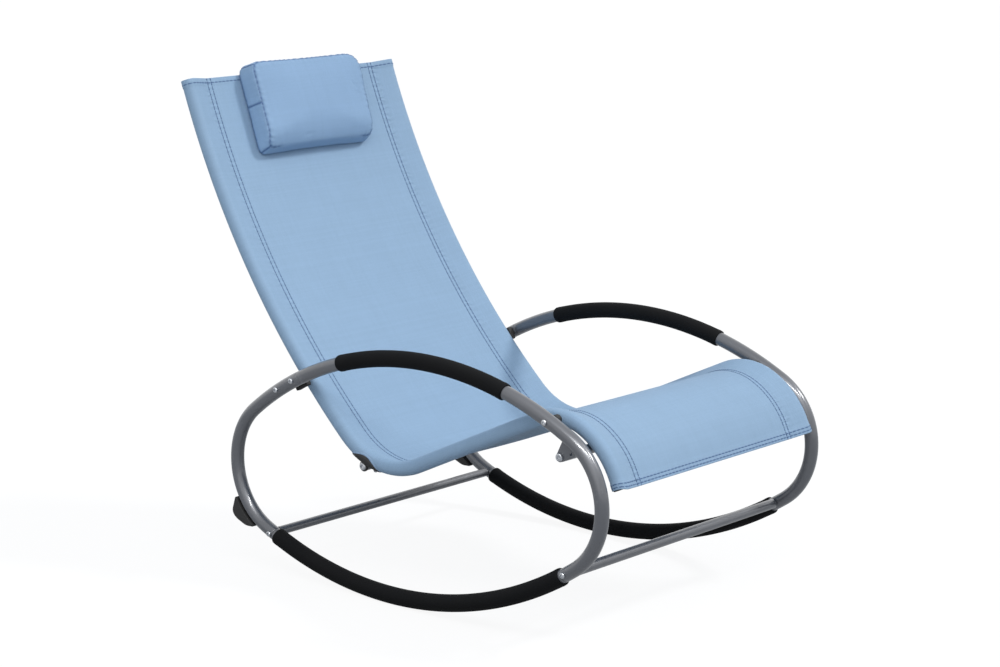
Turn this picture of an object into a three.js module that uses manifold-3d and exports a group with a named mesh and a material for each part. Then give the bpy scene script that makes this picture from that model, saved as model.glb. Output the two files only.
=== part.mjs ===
// Rocking chaise lounge: two oval tube hoops carry a pair of bent side rails,
// and a sling of woven mesh is stretched between the rails.
// Millimetres, +Z up. The sitter faces -Y, so the right-hand side is at -X.

import * as THREE from 'three';
import { mergeVertices } from 'three/addons/utils/BufferGeometryUtils.js';
import Module from 'manifold-3d';

const wasm = await Module();
wasm.setup();

const degrees = THREE.MathUtils.degToRad;

// Clearances
const slipGap = 0.3;
const boltGap = 0.3;
const clothGap = 0.3;
const cutoutGap = 1;
const overrun = 2;

// Facets: sides of a round section, and the widest bend between two rings of a bent tube
const hoopSides = 12;
const railSides = 10;
const barSides = 12;
const screwSides = 8;
const archSteps = 6;
const tightStep = degrees(15);
const wideStep = degrees(5.8);
const railTightStep = degrees(11.5);
const kneeStep = degrees(13.5);
const backStep = degrees(5.5);
const stepToleranceShare = 1e-6;
const crossingHalvings = 48;

// Hoops: each is an oval of four tangent arcs that leans back
const hoopTubeRadius = 12;
const hoopTubeWall = 1.5;
const bowRadius = 125;
const bowSpacing = 600;
const rockerRadius = 745;
const armRadius = 675;
const hoopLean = degrees(5.1);

// Foam sleeves on the hoops
const rockerSleeveRadius = 15;
const rockerSleeveLength = 693;
const armSleeveRadius = 14.5;
const armSleeveLength = 384;
const armSleeveForward = 50;

// Joints between the tubes of a hoop
const seamBeyondSleeve = 5.5;
const lowerScrewBeyondSleeve = 11;
const lowerSwageLength = 21;
const swageNeck = 3;
const armSeamAheadOfScrew = 13;
const spliceScrewSpacing = 44.6;
const swageBehindScrew = 15;

// Side rails, from the top of the backrest down to the front hem
const railSpacing = 508;
const railRadius = 12;
const railWall = 1.5;
const backRadius = 1507;
const backLength = 718;
const cornerRadius = 155.5;
const cornerTurn = degrees(67.6);
const seatLength = 297.3;
const kneeRadius = 109;
const kneeTurn = degrees(49.9);
const shinRadius = 145;
const shinTurn = degrees(40);
const shinLength = 24;
const seatRise = degrees(24.84);

// Front mount, where each rail is screwed to its hoop: its place before the hoop's front bow,
// and its place on the rail past the start of the knee
const frontMountBehindBow = 48.9;
const frontMountPastKneeStart = 53.4;

// Rail end plugs
const plugHeadThickness = 3;
const plugStemLength = 6;
const plugStemWall = 2;
const railInset = 6;

// Sling: one sheet, folded round each rail into a sewn pocket
const clothThickness = 0.8;
const pocketWidth = 41.5;
const pocketTailInset = 1.6;
const seatSag = 4.5;
const backSag = 2;
const panelShares = [0.5, 0, -0.5];
const seatRingShares = [0.33, 0.67];

// Cross bars and spreaders
const rearBarRadius = 8;
const frontBarRadius = 8.75;
const barWall = 1.5;
const barPlugLength = 25;
const spreaderRadius = 8.5;
const spreaderWall = 1.5;

// Screws and bolts
const screw = { shank: 2.8, head: 5, rise: 3.4, socket: 1.8, socketDepth: 2 };
const bolt = { shank: 3.8, head: 7, rise: 4, socket: 2.5, socketDepth: 2.4 };
const smallScrew = { shank: 2, head: 4, rise: 2.4, socket: 1.4, socketDepth: 1.4 };
const headCrownShare = 0.7;
const barScrewBite = 18;
const railScrewBite = 6;
const boltBite = 20;
const smallScrewBite = 4;

// Mount block behind each arm, between hoop and rail
const mountWidth = 10.3;
const blockBelow = 15.5;
const blockAbove = 8;
const blockBehindScrew = 22;
const blockAheadOfScrew = 10;

// Spacer at the front crossing of hoop and rail
const spacerRadius = 8;

// Saddle under the bend of each rail, carrying the rear spreader
const saddleThickness = 2.7;
const saddleHalfLength = 34;
const saddleBehindSpreader = 9;
const spreaderIntoCorner = 55;
const archRise = 18.3;
const saddleLip = 5.3;
const saddleCloser = 40;
const earThickness = 3;
const earMargin = 1;
const earRoot = 1;
const saddleScrewAhead = 27;
const rearSpreaderInset = 5;

// Bracket plate on the inner side of each hoop, carrying the front spreader.
// Places are measured along the hoop from the spreader, drops from the tube's middle.
const bracketThickness = 3;
const bracketMargin = 8.5;
const bracketBendAhead = 12.7;
const bracketRootAhead = 39;
const bracketToeAhead = 29;
const bracketToeDrop = 31;
const bracketHoleRadius = 2.5;
const bracketHoleAhead = 19;
const bracketHoleDrop = 30;
const frontSpreaderAheadOfScrew = 38;
const frontSpreaderDrop = 48.5;

// Rear stops: wedges on the lower back of each hoop, at places behind the seam of the rear bow
const stopWidth = 24;
const stopReach = 25;
const stopHeelReach = 14;
const stopTopReach = 2;
const stopStart = 103.4;
const stopNose = 88.9;
const stopSole = 77.9;
const stopHeel = 56.9;
const stopEnd = 44.9;
const stopScrewAt = 68.4;
const stopScrewDepth = 6;
const stopSteps = 4;

// Pillow, a boxed cushion over the top of the backrest
const pillowAboveHem = 16;
const pillowBelowHem = 158;
const pillowBackHalfWidth = 138.5;
const pillowFrontHalfWidth = 131.5;
const pillowDepth = 41;
const pillowCrown = 9;
const pillowCorner = 9;
const pillowDrawIn = 3;
const pillowUndercut = 6;
const pillowCornerSteps = 3;
const pillowFaceSteps = 6;
const pillowRingShares = [-1, -0.99, -0.955, -0.88, -0.66, -0.33, 0, 0.33, 0.66, 0.88, 0.955, 0.99, 1];
const pillowEndShares = [0.8, 0.92, 0.98, 1, 1, 1, 1, 1, 1, 1, 0.98, 0.92, 0.8];

// Flap that hangs behind the backrest and holds the pillow
const flapLength = 110;
const flapHalfWidth = 120;
const flapThickness = 1.6;

// Values that follow from the sizes above
const railOffset = railSpacing / 2;
const pocketBore = railRadius + clothGap;
const pocketRadius = pocketBore + clothThickness;
const pocketFace = railOffset + pocketRadius;
const hoopInnerFace = pocketFace + clothGap + mountWidth + slipGap;
const hoopOffset = hoopInnerFace + hoopTubeRadius;
const hoopBore = hoopTubeRadius - hoopTubeWall;
const swageRadius = hoopBore - slipGap;
const swageBore = swageRadius - hoopTubeWall;
const rearSpreaderHalf = railOffset - rearSpreaderInset;
const footStep = wideStep / 2;

// A flat path in the YZ plane, made of straight and round runs that meet smoothly
class Route {
  constructor(heading) {
    this.runs = [];
    this.end = { s: 0, y: 0, z: 0, heading };
    this.closed = false;
  }

  run(length, turn, step) {
    const run = { ...this.end, length, turn, step };
    this.runs.push(run);
    this.end = { s: run.s + length, ...Route.along(run, length) };
    return this;
  }

  arc(radius, turn, step) {
    return this.run(radius * Math.abs(turn), turn, step);
  }

  straight(length) {
    return this.run(length, 0, wideStep);
  }

  close() {
    this.closed = true;
    return this;
  }

  shift(dy, dz) {
    [...this.runs, this.end].forEach((place) => {
      place.y += dy;
      place.z += dz;
    });
    return this;
  }

  static along(run, distance) {
    if (run.turn === 0) {
      const y = run.y + distance * Math.cos(run.heading);
      const z = run.z + distance * Math.sin(run.heading);
      return { y, z, heading: run.heading };
    }
    const radius = run.length / run.turn;
    const heading = run.heading + distance / radius;
    const y = run.y + radius * (Math.sin(heading) - Math.sin(run.heading));
    const z = run.z - radius * (Math.cos(heading) - Math.cos(run.heading));
    return { y, z, heading };
  }

  runAt(s) {
    return this.runs.findLast((run) => run.s <= s) ?? this.runs[0];
  }

  at(s) {
    const total = this.end.s;
    const place = this.closed ? ((s % total) + total) % total : s;
    const run = this.runAt(place);
    return Route.along(run, place - run.s);
  }

  // A point that lies off the path by the given distance, to the left of its heading
  offset(s, distance) {
    const { y, z, heading } = this.at(s);
    return { y: y - distance * Math.sin(heading), z: z + distance * Math.cos(heading) };
  }

  // Places of all rings along the path, with one at each mark and at each end of a run
  rings(marks) {
    const total = this.end.s;
    const wrapped = marks.map((mark) => (this.closed ? ((mark % total) + total) % total : mark));
    const ends = [...this.runs.map((run) => run.s), total, ...wrapped].sort((a, b) => a - b);
    const rings = [];
    ends.slice(1).forEach((to, index) => {
      const from = ends[index];
      const run = this.runAt((from + to) / 2);
      const bend = (Math.abs(run.turn) * (to - from)) / run.length;
      const count = Math.max(1, Math.ceil(bend / run.step - stepToleranceShare));
      for (let i = 0; i < count; i += 1) {
        rings.push(from + ((to - from) * i) / count);
      }
    });
    rings.push(total);
    const spread = this.closed ? [-total, 0, total] : [0];
    const all = spread.flatMap((turn) => rings.map((ring) => ring + turn)).sort((a, b) => a - b);
    return all.filter((ring, index) => index === 0 || ring - all[index - 1] > slipGap / 2);
  }
}

function ringsBetween(rings, from, to) {
  const low = Math.min(from, to) + slipGap / 2;
  const high = Math.max(from, to) - slipGap / 2;
  const inside = rings.filter((ring) => ring > low && ring < high);
  return from < to ? inside : inside.reverse();
}

// Joins equal corners and drops faces without area, so that the faces form one closed surface
function welded(geometry) {
  const bare = geometry.clone();
  bare.deleteAttribute('normal');
  bare.deleteAttribute('uv');
  const merged = mergeVertices(bare);
  const corners = Array.from(merged.getIndex().array);
  const faces = [];
  while (corners.length > 0) {
    const face = corners.splice(0, 3);
    if (new Set(face).size === face.length) {
      faces.push(...face);
    }
  }
  merged.setIndex(faces);
  return merged;
}

function solidOf(geometry) {
  const mesh = welded(geometry);
  const vertProperties = Float32Array.from(mesh.getAttribute('position').array);
  const triVerts = Uint32Array.from(mesh.getIndex().array);
  return new wasm.Manifold(new wasm.Mesh({ numProp: 3, vertProperties, triVerts }));
}

function geometryOf(solid) {
  const { vertProperties, triVerts } = solid.getMesh();
  const geometry = new THREE.BufferGeometry();
  geometry.setAttribute('position', new THREE.BufferAttribute(vertProperties, 3));
  geometry.setIndex(new THREE.BufferAttribute(triVerts, 1));
  return geometry;
}

function cut(geometry, cutters) {
  return geometryOf(cutters.reduce((solid, cutter) => solid.subtract(solidOf(cutter)), solidOf(geometry)));
}

// Radius to the corners of a regular section whose flats are at the given radius
function cornerRadiusOf(flatRadius, sides) {
  return flatRadius / Math.cos(Math.PI / sides);
}

// Turns a closed outline of [radius, place] corners into a tube and bends it along the route
function bentTube(route, rings, corners, sides) {
  const profile = [];
  corners.forEach(([radius, place], index) => {
    const [nextRadius, nextPlace] = corners[(index + 1) % corners.length];
    profile.push(new THREE.Vector2(radius, place));
    ringsBetween(rings, place, nextPlace).forEach((ring) => {
      const share = (ring - place) / (nextPlace - place);
      profile.push(new THREE.Vector2(THREE.MathUtils.lerp(radius, nextRadius, share), ring));
    });
  });
  profile.push(profile[0].clone());
  const flatSideways = Math.PI / 2 - Math.PI / sides;
  const geometry = new THREE.LatheGeometry(profile, sides, flatSideways);
  const positions = geometry.getAttribute('position');
  for (let i = 0; i < positions.count; i += 1) {
    const x = cornerRadiusOf(positions.getX(i), sides);
    const { y, z } = route.offset(positions.getY(i), cornerRadiusOf(positions.getZ(i), sides));
    positions.setXYZ(i, x, y, z);
  }
  return geometry;
}

// A flat shape drawn in Y and Z, given a thickness from one X to another
function slab(shape, xFrom, xTo, curveSegments) {
  const depth = Math.abs(xTo - xFrom);
  const geometry = new THREE.ExtrudeGeometry(shape, { depth, curveSegments, bevelEnabled: false });
  const axes = new THREE.Matrix4().makeBasis(
    new THREE.Vector3(0, 1, 0),
    new THREE.Vector3(0, 0, 1),
    new THREE.Vector3(1, 0, 0),
  );
  return geometry.applyMatrix4(axes).translate(Math.min(xFrom, xTo), 0, 0);
}

// A shape whose corners are [place along the route, distance to its left]
function shapeAlong(route, corners) {
  const points = corners.map(([place, distance]) => {
    const { y, z } = route.offset(place, distance);
    return new THREE.Vector2(y, z);
  });
  return new THREE.Shape(points);
}

function turnTo(geometry, direction) {
  const turn = new THREE.Quaternion().setFromUnitVectors(new THREE.Vector3(0, 1, 0), direction);
  return geometry.applyQuaternion(turn);
}

// A round cutter that starts at a point and runs the given length along a direction
function drill(shank, origin, direction, length) {
  const radius = cornerRadiusOf(shank + boltGap, screwSides);
  const cylinder = new THREE.CylinderGeometry(radius, radius, length, screwSides);
  cylinder.translate(0, length / 2, 0);
  return turnTo(cylinder, direction).translate(origin.x, origin.y, origin.z);
}

// A socket-headed screw: its head stands on the XZ plane and its shank hangs below
function screwGeometry(size, length) {
  const crown = size.head * headCrownShare;
  const socketFloor = size.rise - size.socketDepth;
  const profile = [
    [0, -length],
    [size.shank, -length],
    [size.shank, 0],
    [size.head, 0],
    [crown, size.rise],
    [size.socket, size.rise],
    [size.socket, socketFloor],
    [0, socketFloor],
  ];
  return new THREE.LatheGeometry(profile.map(([r, y]) => new THREE.Vector2(r, y)), screwSides);
}

// A straight round bar along X, bored through, with a narrower bore at its two threaded ends
function barGeometry(radius, wall, halfLength, shank) {
  const endBore = shank + boltGap;
  const bore = radius - wall;
  const plug = halfLength - barPlugLength;
  const profile = [
    [radius, -halfLength],
    [radius, halfLength],
    [endBore, halfLength],
    [endBore, plug],
    [bore, plug],
    [bore, -plug],
    [endBore, -plug],
    [endBore, -halfLength],
    [radius, -halfLength],
  ];
  const points = profile.map(([r, y]) => new THREE.Vector2(cornerRadiusOf(r, barSides), y));
  const geometry = new THREE.LatheGeometry(points, barSides, Math.PI / barSides);
  return turnTo(geometry, new THREE.Vector3(1, 0, 0));
}

// Routes. The hoop starts at the front end of its rocker arc and runs rearwards, up and round.
const rockerRise = Math.sqrt((rockerRadius - bowRadius) ** 2 - (bowSpacing / 2) ** 2);
const armDrop = Math.sqrt((armRadius - bowRadius) ** 2 - (bowSpacing / 2) ** 2);
const rockerHalf = Math.asin(bowSpacing / 2 / (rockerRadius - bowRadius));
const armHalf = Math.asin(bowSpacing / 2 / (armRadius - bowRadius));
const bowTurn = Math.PI - rockerHalf - armHalf;
const rockerCentre = {
  y: rockerRise * Math.sin(hoopLean),
  z: (rockerRadius + rockerSleeveRadius) * Math.cos(footStep),
};
const hoop = new Route(-rockerHalf - hoopLean)
  .arc(rockerRadius, rockerHalf * 2, wideStep)
  .arc(bowRadius, bowTurn, tightStep)
  .arc(armRadius, armHalf * 2, wideStep)
  .arc(bowRadius, bowTurn, tightStep)
  .close();
const footPlace = rockerRadius * (rockerHalf + hoopLean);
const lowest = hoop.at(footPlace);
hoop.shift(rockerCentre.y - lowest.y, rockerCentre.z - rockerRadius - lowest.z);
const [rockerRun, , armRun, frontBowRun] = hoop.runs;
const armCentre = {
  y: rockerCentre.y - (rockerRise + armDrop) * Math.sin(hoopLean),
  z: rockerCentre.z - (rockerRise + armDrop) * Math.cos(hoopLean),
};

const seatHeading = Math.PI - seatRise;
const railRoute = new Route(seatHeading + cornerTurn + backLength / backRadius)
  .arc(backRadius, -backLength / backRadius, backStep)
  .arc(cornerRadius, -cornerTurn, railTightStep)
  .straight(seatLength)
  .arc(kneeRadius, kneeTurn, kneeStep)
  .arc(shinRadius, shinTurn, kneeStep)
  .straight(shinLength);
const [backRun, cornerRun, seatRun, kneeRun] = railRoute.runs;
const frontCrossing = hoop.at(frontBowRun.s - frontMountBehindBow);
const hung = railRoute.at(kneeRun.s + frontMountPastKneeStart);
railRoute.shift(frontCrossing.y - hung.y, frontCrossing.z - hung.z);

// Place along the rail, within one run, where the rail crosses the hoop's arm arc
function crossingOn(run) {
  const reach = (s) => {
    const { y, z } = railRoute.at(s);
    return Math.hypot(y - armCentre.y, z - armCentre.z) - armRadius;
  };
  let low = run.s;
  let high = run.s + run.length;
  const rising = reach(high) > reach(low);
  for (let i = 0; i < crossingHalvings; i += 1) {
    const middle = (low + high) / 2;
    if (reach(middle) > 0 === rising) {
      high = middle;
    } else {
      low = middle;
    }
  }
  return (low + high) / 2;
}

// Place along the hoop of a point on its arm arc
function placeOnArm({ y, z }) {
  const heading = Math.atan2(z - armCentre.z, y - armCentre.y) + Math.PI / 2;
  return armRun.s + (heading - armRun.heading) * armRadius;
}

const rearCrossing = railRoute.at(crossingOn(backRun));

// Places along the hoop
const rockerMiddle = rockerRun.length / 2;
const rockerSleeveHalf = rockerSleeveLength / 2;
const armMiddle = armRun.s + armRun.length / 2 + armSleeveForward;
const armSleeveHalf = armSleeveLength / 2;
const seamHalf = rockerSleeveHalf + seamBeyondSleeve;
const rearSeam = rockerMiddle + seamHalf;
const frontSeam = hoop.end.s + rockerMiddle - seamHalf;
const rearRailScrew = placeOnArm(rearCrossing);
const frontRailScrew = frontBowRun.s - frontMountBehindBow;
const spliceScrew = rearRailScrew - spliceScrewSpacing;
const armSeam = rearRailScrew + armSeamAheadOfScrew;
const rearBarScrew = rockerMiddle + rockerSleeveHalf + lowerScrewBeyondSleeve;
const frontBarScrew = hoop.end.s + rockerMiddle - rockerSleeveHalf - lowerScrewBeyondSleeve;
const footHalf = rockerRadius * footStep;
const swageEnd = spliceScrew - swageBehindScrew;
const swageHalf = seamHalf + lowerSwageLength;

// Corners of the hoop's tubes, as [radius, place along the hoop]
const rearBowCorners = [
  [hoopTubeRadius, rearSeam],
  [hoopTubeRadius, armSeam],
  [hoopBore, armSeam],
  [hoopBore, rearSeam],
];
const armShoulder = armSeam + slipGap;
const frontBowCorners = [
  [hoopTubeRadius, armShoulder],
  [hoopTubeRadius, frontSeam],
  [hoopBore, frontSeam],
  [hoopBore, armShoulder + swageNeck],
  [swageBore, armShoulder + swageNeck],
  [swageBore, swageEnd],
  [swageRadius, swageEnd],
  [swageRadius, armShoulder],
];
const shoulderHalf = seamHalf - slipGap;
const neckHalf = shoulderHalf - swageNeck;
const rockerTubeCorners = [
  [hoopTubeRadius, rockerMiddle - shoulderHalf],
  [hoopTubeRadius, rockerMiddle + shoulderHalf],
  [swageRadius, rockerMiddle + shoulderHalf],
  [swageRadius, rockerMiddle + swageHalf],
  [swageBore, rockerMiddle + swageHalf],
  [swageBore, rockerMiddle + neckHalf],
  [hoopBore, rockerMiddle + neckHalf],
  [hoopBore, rockerMiddle - neckHalf],
  [swageBore, rockerMiddle - neckHalf],
  [swageBore, rockerMiddle - swageHalf],
  [swageRadius, rockerMiddle - swageHalf],
  [swageRadius, rockerMiddle - shoulderHalf],
];
const sleeveCorners = (radius, middle, half) => [
  [radius, middle - half],
  [radius, middle + half],
  [hoopTubeRadius + slipGap, middle + half],
  [hoopTubeRadius + slipGap, middle - half],
];
const rockerSleeveCorners = sleeveCorners(rockerSleeveRadius, rockerMiddle, rockerSleeveHalf);
const armSleeveCorners = sleeveCorners(armSleeveRadius, armMiddle, armSleeveHalf);

const mirrored = (middle, half) => [middle - half, middle + half];
const hoopRings = hoop.rings([
  armSeam,
  swageEnd,
  ...mirrored(rockerMiddle, seamHalf),
  ...mirrored(rockerMiddle, swageHalf),
  ...mirrored(rockerMiddle, rockerSleeveHalf),
  ...mirrored(armMiddle, armSleeveHalf),
  ...mirrored(footPlace, footHalf),
]);

// Places along the rail
const slingEnd = railRoute.end.s;
const railTop = railInset;
const railFoot = slingEnd - railInset;
const spreaderPlace = cornerRun.s + spreaderIntoCorner;
const saddlePlace = spreaderPlace + saddleBehindSpreader;
const seatRings = seatRingShares.map((share) => seatRun.s + share * seatLength);
const railRings = railRoute.rings([railTop, railFoot, ...seatRings]);

const acrossX = new THREE.Vector3(1, 0, 0);
const outward = (side) => new THREE.Vector3(side, 0, 0);

// Cutter for a screw that crosses a tube along X, in the tube's own plane
function crossDrill(place, shank) {
  const start = new THREE.Vector3(-hoopTubeRadius - overrun, place.y, place.z);
  return drill(shank, start, acrossX, (hoopTubeRadius + overrun) * 2);
}

function rearBow() {
  const places = [rearBarScrew, spliceScrew, rearRailScrew].map((place) => hoop.at(place));
  const tube = bentTube(hoop, hoopRings, rearBowCorners, hoopSides);
  const stopHole = stopDrill(smallScrew.shank, stopScrewLength);
  return cut(tube, [...places.map((place) => crossDrill(place, screw.shank)), stopHole]);
}

function frontBow() {
  const places = [frontBarScrew, spliceScrew, rearRailScrew, frontRailScrew].map((s) => hoop.at(s));
  const tube = bentTube(hoop, hoopRings, frontBowCorners, hoopSides);
  return cut(tube, places.map((place) => crossDrill(place, screw.shank)));
}

function rockerTube() {
  const places = [rearBarScrew, frontBarScrew].map((place) => hoop.at(place));
  const tube = bentTube(hoop, hoopRings, rockerTubeCorners, hoopSides);
  return cut(tube, places.map((place) => crossDrill(place, screw.shank)));
}

const rockerSleeve = () => bentTube(hoop, hoopRings, rockerSleeveCorners, hoopSides);
const armSleeve = () => bentTube(hoop, hoopRings, armSleeveCorners, hoopSides);

const stopPlace = (distance) => rearSeam + distance;
const stopScrewLength = stopScrewDepth + slipGap * 3 + hoopTubeWall + smallScrewBite;
const stopSeat = -(hoopTubeRadius + slipGap);

function stopScrewFrame() {
  const place = stopPlace(stopScrewAt);
  const { heading } = hoop.at(place);
  const direction = new THREE.Vector3(0, Math.sin(heading), -Math.cos(heading));
  const { y, z } = hoop.offset(place, stopSeat - stopScrewDepth);
  return { direction, seat: new THREE.Vector3(0, y, z) };
}

function stopDrill(shank, length) {
  const { direction, seat } = stopScrewFrame();
  const start = seat.clone().addScaledVector(direction, overrun);
  return drill(shank, start, direction.clone().negate(), length + overrun);
}

function rearStop() {
  const inner = [];
  for (let i = 0; i <= stopSteps; i += 1) {
    const distance = stopEnd + ((stopStart - stopEnd) * i) / stopSteps;
    inner.push([stopPlace(distance), stopSeat - slipGap]);
  }
  const outer = [
    [stopPlace(stopStart), stopSeat - stopTopReach],
    [stopPlace(stopNose), stopSeat - stopReach],
    [stopPlace(stopSole), stopSeat - stopReach],
    [stopPlace(stopHeel), stopSeat - stopHeelReach],
    [stopPlace(stopEnd), stopSeat - stopTopReach / 2],
  ];
  const wedge = slab(shapeAlong(hoop, [...inner, ...outer]), -stopWidth / 2, stopWidth / 2, 1);
  const { direction, seat } = stopScrewFrame();
  const headRoom = drill(smallScrew.head, seat, direction, stopReach);
  return cut(wedge, [headRoom, stopDrill(smallScrew.shank, stopScrewLength)]);
}

// Arched outline over the saddle, in places and distances from the rail's middle line
function archShape(halfLength, rise) {
  const base = archRise - saddleLip;
  const corners = [];
  for (let i = 0; i <= archSteps; i += 1) {
    const share = (2 * i) / archSteps - 1;
    corners.push([saddlePlace + share * halfLength, base - rise * (1 - share * share)]);
  }
  corners.push([saddlePlace + halfLength, saddleCloser]);
  corners.push([saddlePlace - halfLength, saddleCloser]);
  return shapeAlong(railRoute, corners);
}

function rearSpreaderPoint() {
  const distance = pocketBore + saddleThickness + slipGap + spreaderRadius;
  return railRoute.offset(spreaderPlace, distance);
}

// Shell round the outer and lower half of the rail, with an ear for the spreader's bolt.
// Its X is measured from the rail's middle, positive outwards for the left side.
function cornerSaddle(side) {
  const bore = cornerRadiusOf(pocketBore, railSides);
  const skin = cornerRadiusOf(pocketBore + saddleThickness, railSides);
  const from = railRings.findLast((ring) => ring <= saddlePlace - saddleHalfLength);
  const to = railRings.find((ring) => ring >= saddlePlace + saddleHalfLength);
  const ringCorners = [
    [pocketBore + saddleThickness, from],
    [pocketBore + saddleThickness, to],
    [pocketBore, to],
    [pocketBore, from],
  ];
  const shell = solidOf(bentTube(railRoute, railRings, ringCorners, railSides));
  const arch = archShape(saddleHalfLength - cutoutGap, archRise - cutoutGap);
  const cradle = shell.intersect(solidOf(slab(arch, -skin, skin, 1)));
  const { y, z } = rearSpreaderPoint();
  const root = railRoute.offset(spreaderPlace, bore + earRoot);
  const ear = new THREE.Shape().absarc(y, z, spreaderRadius + earMargin, 0, Math.PI * 2);
  const earFrom = side * (rearSpreaderHalf + slipGap - railOffset);
  const disc = solidOf(slab(ear, earFrom, earFrom + side * earThickness, barSides));
  const { heading } = railRoute.at(spreaderPlace);
  const along = new THREE.Vector2(Math.cos(heading), Math.sin(heading)).multiplyScalar(spreaderRadius / 2);
  const neck = new THREE.Shape([
    new THREE.Vector2(root.y - along.x, root.z - along.y),
    new THREE.Vector2(root.y + along.x, root.z + along.y),
    new THREE.Vector2(y + along.x, z + along.y),
    new THREE.Vector2(y - along.x, z - along.y),
  ]);
  const web = solidOf(slab(neck, earFrom, earFrom + side * earThickness, 1));
  const boltHole = drill(bolt.shank, new THREE.Vector3(-skin, y, z), acrossX, skin * 2);
  const body = cradle.add(disc).add(web).subtract(solidOf(boltHole));
  return geometryOf(body.subtract(solidOf(saddleDrill())));
}

function saddleScrewFrame() {
  const place = spreaderPlace + saddleScrewAhead;
  const { heading } = railRoute.at(place);
  const direction = new THREE.Vector3(0, -Math.sin(heading), Math.cos(heading));
  const skin = cornerRadiusOf(pocketBore + saddleThickness, railSides);
  const { y, z } = railRoute.offset(place, skin + slipGap);
  return { direction, seat: new THREE.Vector3(0, y, z) };
}

const saddleScrewLength = saddleThickness + slipGap * 2 + railWall + smallScrewBite;

function saddleDrill() {
  const { direction, seat } = saddleScrewFrame();
  const start = seat.clone().addScaledVector(direction, overrun);
  return drill(smallScrew.shank, start, direction.clone().negate(), saddleScrewLength + overrun);
}

function sideRail(side) {
  const corners = [
    [railRadius, railTop],
    [railRadius, railFoot],
    [railRadius - railWall, railFoot],
    [railRadius - railWall, railTop],
  ];
  const tube = bentTube(railRoute, railRings, corners, railSides);
  const drills = [rearCrossing, frontCrossing].map(({ y, z }) => {
    return drill(screw.shank, new THREE.Vector3(0, y, z), outward(side), railRadius + overrun);
  });
  return cut(tube, [...drills, saddleDrill()]);
}

// Plug in a rail's open end: the stem runs into the tube, the head covers its wall
function railPlug() {
  const stem = railRadius - railWall - slipGap;
  const profile = [
    [0, -plugStemLength],
    [stem - plugStemWall, -plugStemLength],
    [stem, -plugStemLength + plugStemWall],
    [stem, 0],
    [railRadius, 0],
    [railRadius, plugHeadThickness],
    [0, plugHeadThickness],
  ];
  const points = profile.map(([r, y]) => new THREE.Vector2(cornerRadiusOf(r, railSides), y));
  return new THREE.LatheGeometry(points, railSides, Math.PI / 2 - Math.PI / railSides);
}

// Block between hoop and pocket, following the arm arc under the tube
function rearMountBlock(side) {
  const corners = [];
  const from = rearRailScrew - blockBehindScrew;
  const to = rearRailScrew + blockAheadOfScrew;
  for (let i = 0; i <= stopSteps; i += 1) {
    corners.push([from + ((to - from) * i) / stopSteps, blockBelow]);
  }
  for (let i = stopSteps; i >= 0; i -= 1) {
    corners.push([from + ((to - from) * i) / stopSteps, -blockAbove]);
  }
  const xFrom = side * (hoopInnerFace - slipGap - hoopOffset);
  const xTo = side * (pocketFace + clothGap - hoopOffset);
  const { y, z } = rearCrossing;
  const hole = drill(screw.shank, new THREE.Vector3(0, y, z), outward(-side), hoopOffset - railOffset);
  return cut(slab(shapeAlong(hoop, corners), xFrom, xTo, 1), [hole]);
}

function frontMountSpacer() {
  const bore = screw.shank + boltGap;
  const profile = [
    [bore, 0],
    [spacerRadius, 0],
    [spacerRadius, mountWidth],
    [bore, mountWidth],
    [bore, 0],
  ];
  const points = profile.map(([r, y]) => new THREE.Vector2(cornerRadiusOf(r, barSides), y));
  return new THREE.LatheGeometry(points, barSides);
}

const frontSpreaderPlace = frontRailScrew + frontSpreaderAheadOfScrew;
const frontSpreaderPoint = () => hoop.offset(frontSpreaderPlace, frontSpreaderDrop);

// Plate against the hoop's inner side: it hangs below the tube and rounds the spreader's bolt
function frontBracket(side) {
  const corners = [
    [frontSpreaderPlace - bracketMargin, 0],
    [frontSpreaderPlace + bracketBendAhead, 0],
    [frontSpreaderPlace + bracketRootAhead, 0],
    [frontSpreaderPlace + bracketToeAhead, bracketToeDrop],
  ];
  for (let i = 1; i <= archSteps / 2; i += 1) {
    const angle = (Math.PI * i) / (archSteps / 2);
    const place = frontSpreaderPlace + bracketMargin * Math.cos(angle);
    corners.push([place, frontSpreaderDrop + bracketMargin * Math.sin(angle)]);
  }
  const outerFace = side * (hoopInnerFace - slipGap);
  const innerFace = outerFace - side * bracketThickness;
  const plate = slab(shapeAlong(hoop, corners), outerFace, innerFace, 1);
  const start = outerFace + side * overrun;
  const depth = bracketThickness + overrun * 2;
  const bolted = frontSpreaderPoint();
  const hole = hoop.offset(frontSpreaderPlace + bracketHoleAhead, bracketHoleDrop);
  return cut(plate, [
    drill(bolt.shank, new THREE.Vector3(start, bolted.y, bolted.z), outward(-side), depth),
    drill(bracketHoleRadius, new THREE.Vector3(start, hole.y, hole.z), outward(-side), depth),
  ]);
}

// Depth of the sling's hollow at a place, from straight runs between its deepest and flat places
function sagAt(place) {
  const middle = (run) => run.s + run.length / 2;
  const keys = [
    [0, 0],
    [middle(backRun), backSag],
    [middle(seatRun), seatSag],
    [middle(kneeRun), 0],
    [slingEnd, 0],
  ];
  const index = Math.max(1, keys.findIndex(([key]) => key >= place));
  const [from, sagFrom] = keys[index - 1];
  const [to, sagTo] = keys[index];
  return THREE.MathUtils.mapLinear(place, from, to, sagFrom, sagTo);
}

// Corners of a pocket's round half, seen along the sling, X outwards and Y towards the sitter
function pocketRound(radius) {
  const corner = cornerRadiusOf(radius, railSides);
  const corners = [];
  for (let i = 0; i <= railSides / 2; i += 1) {
    const angle = (Math.PI * 2 * i) / railSides - Math.PI / 2;
    corners.push([railOffset + corner * Math.cos(angle), corner * Math.sin(angle)]);
  }
  return corners;
}

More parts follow.
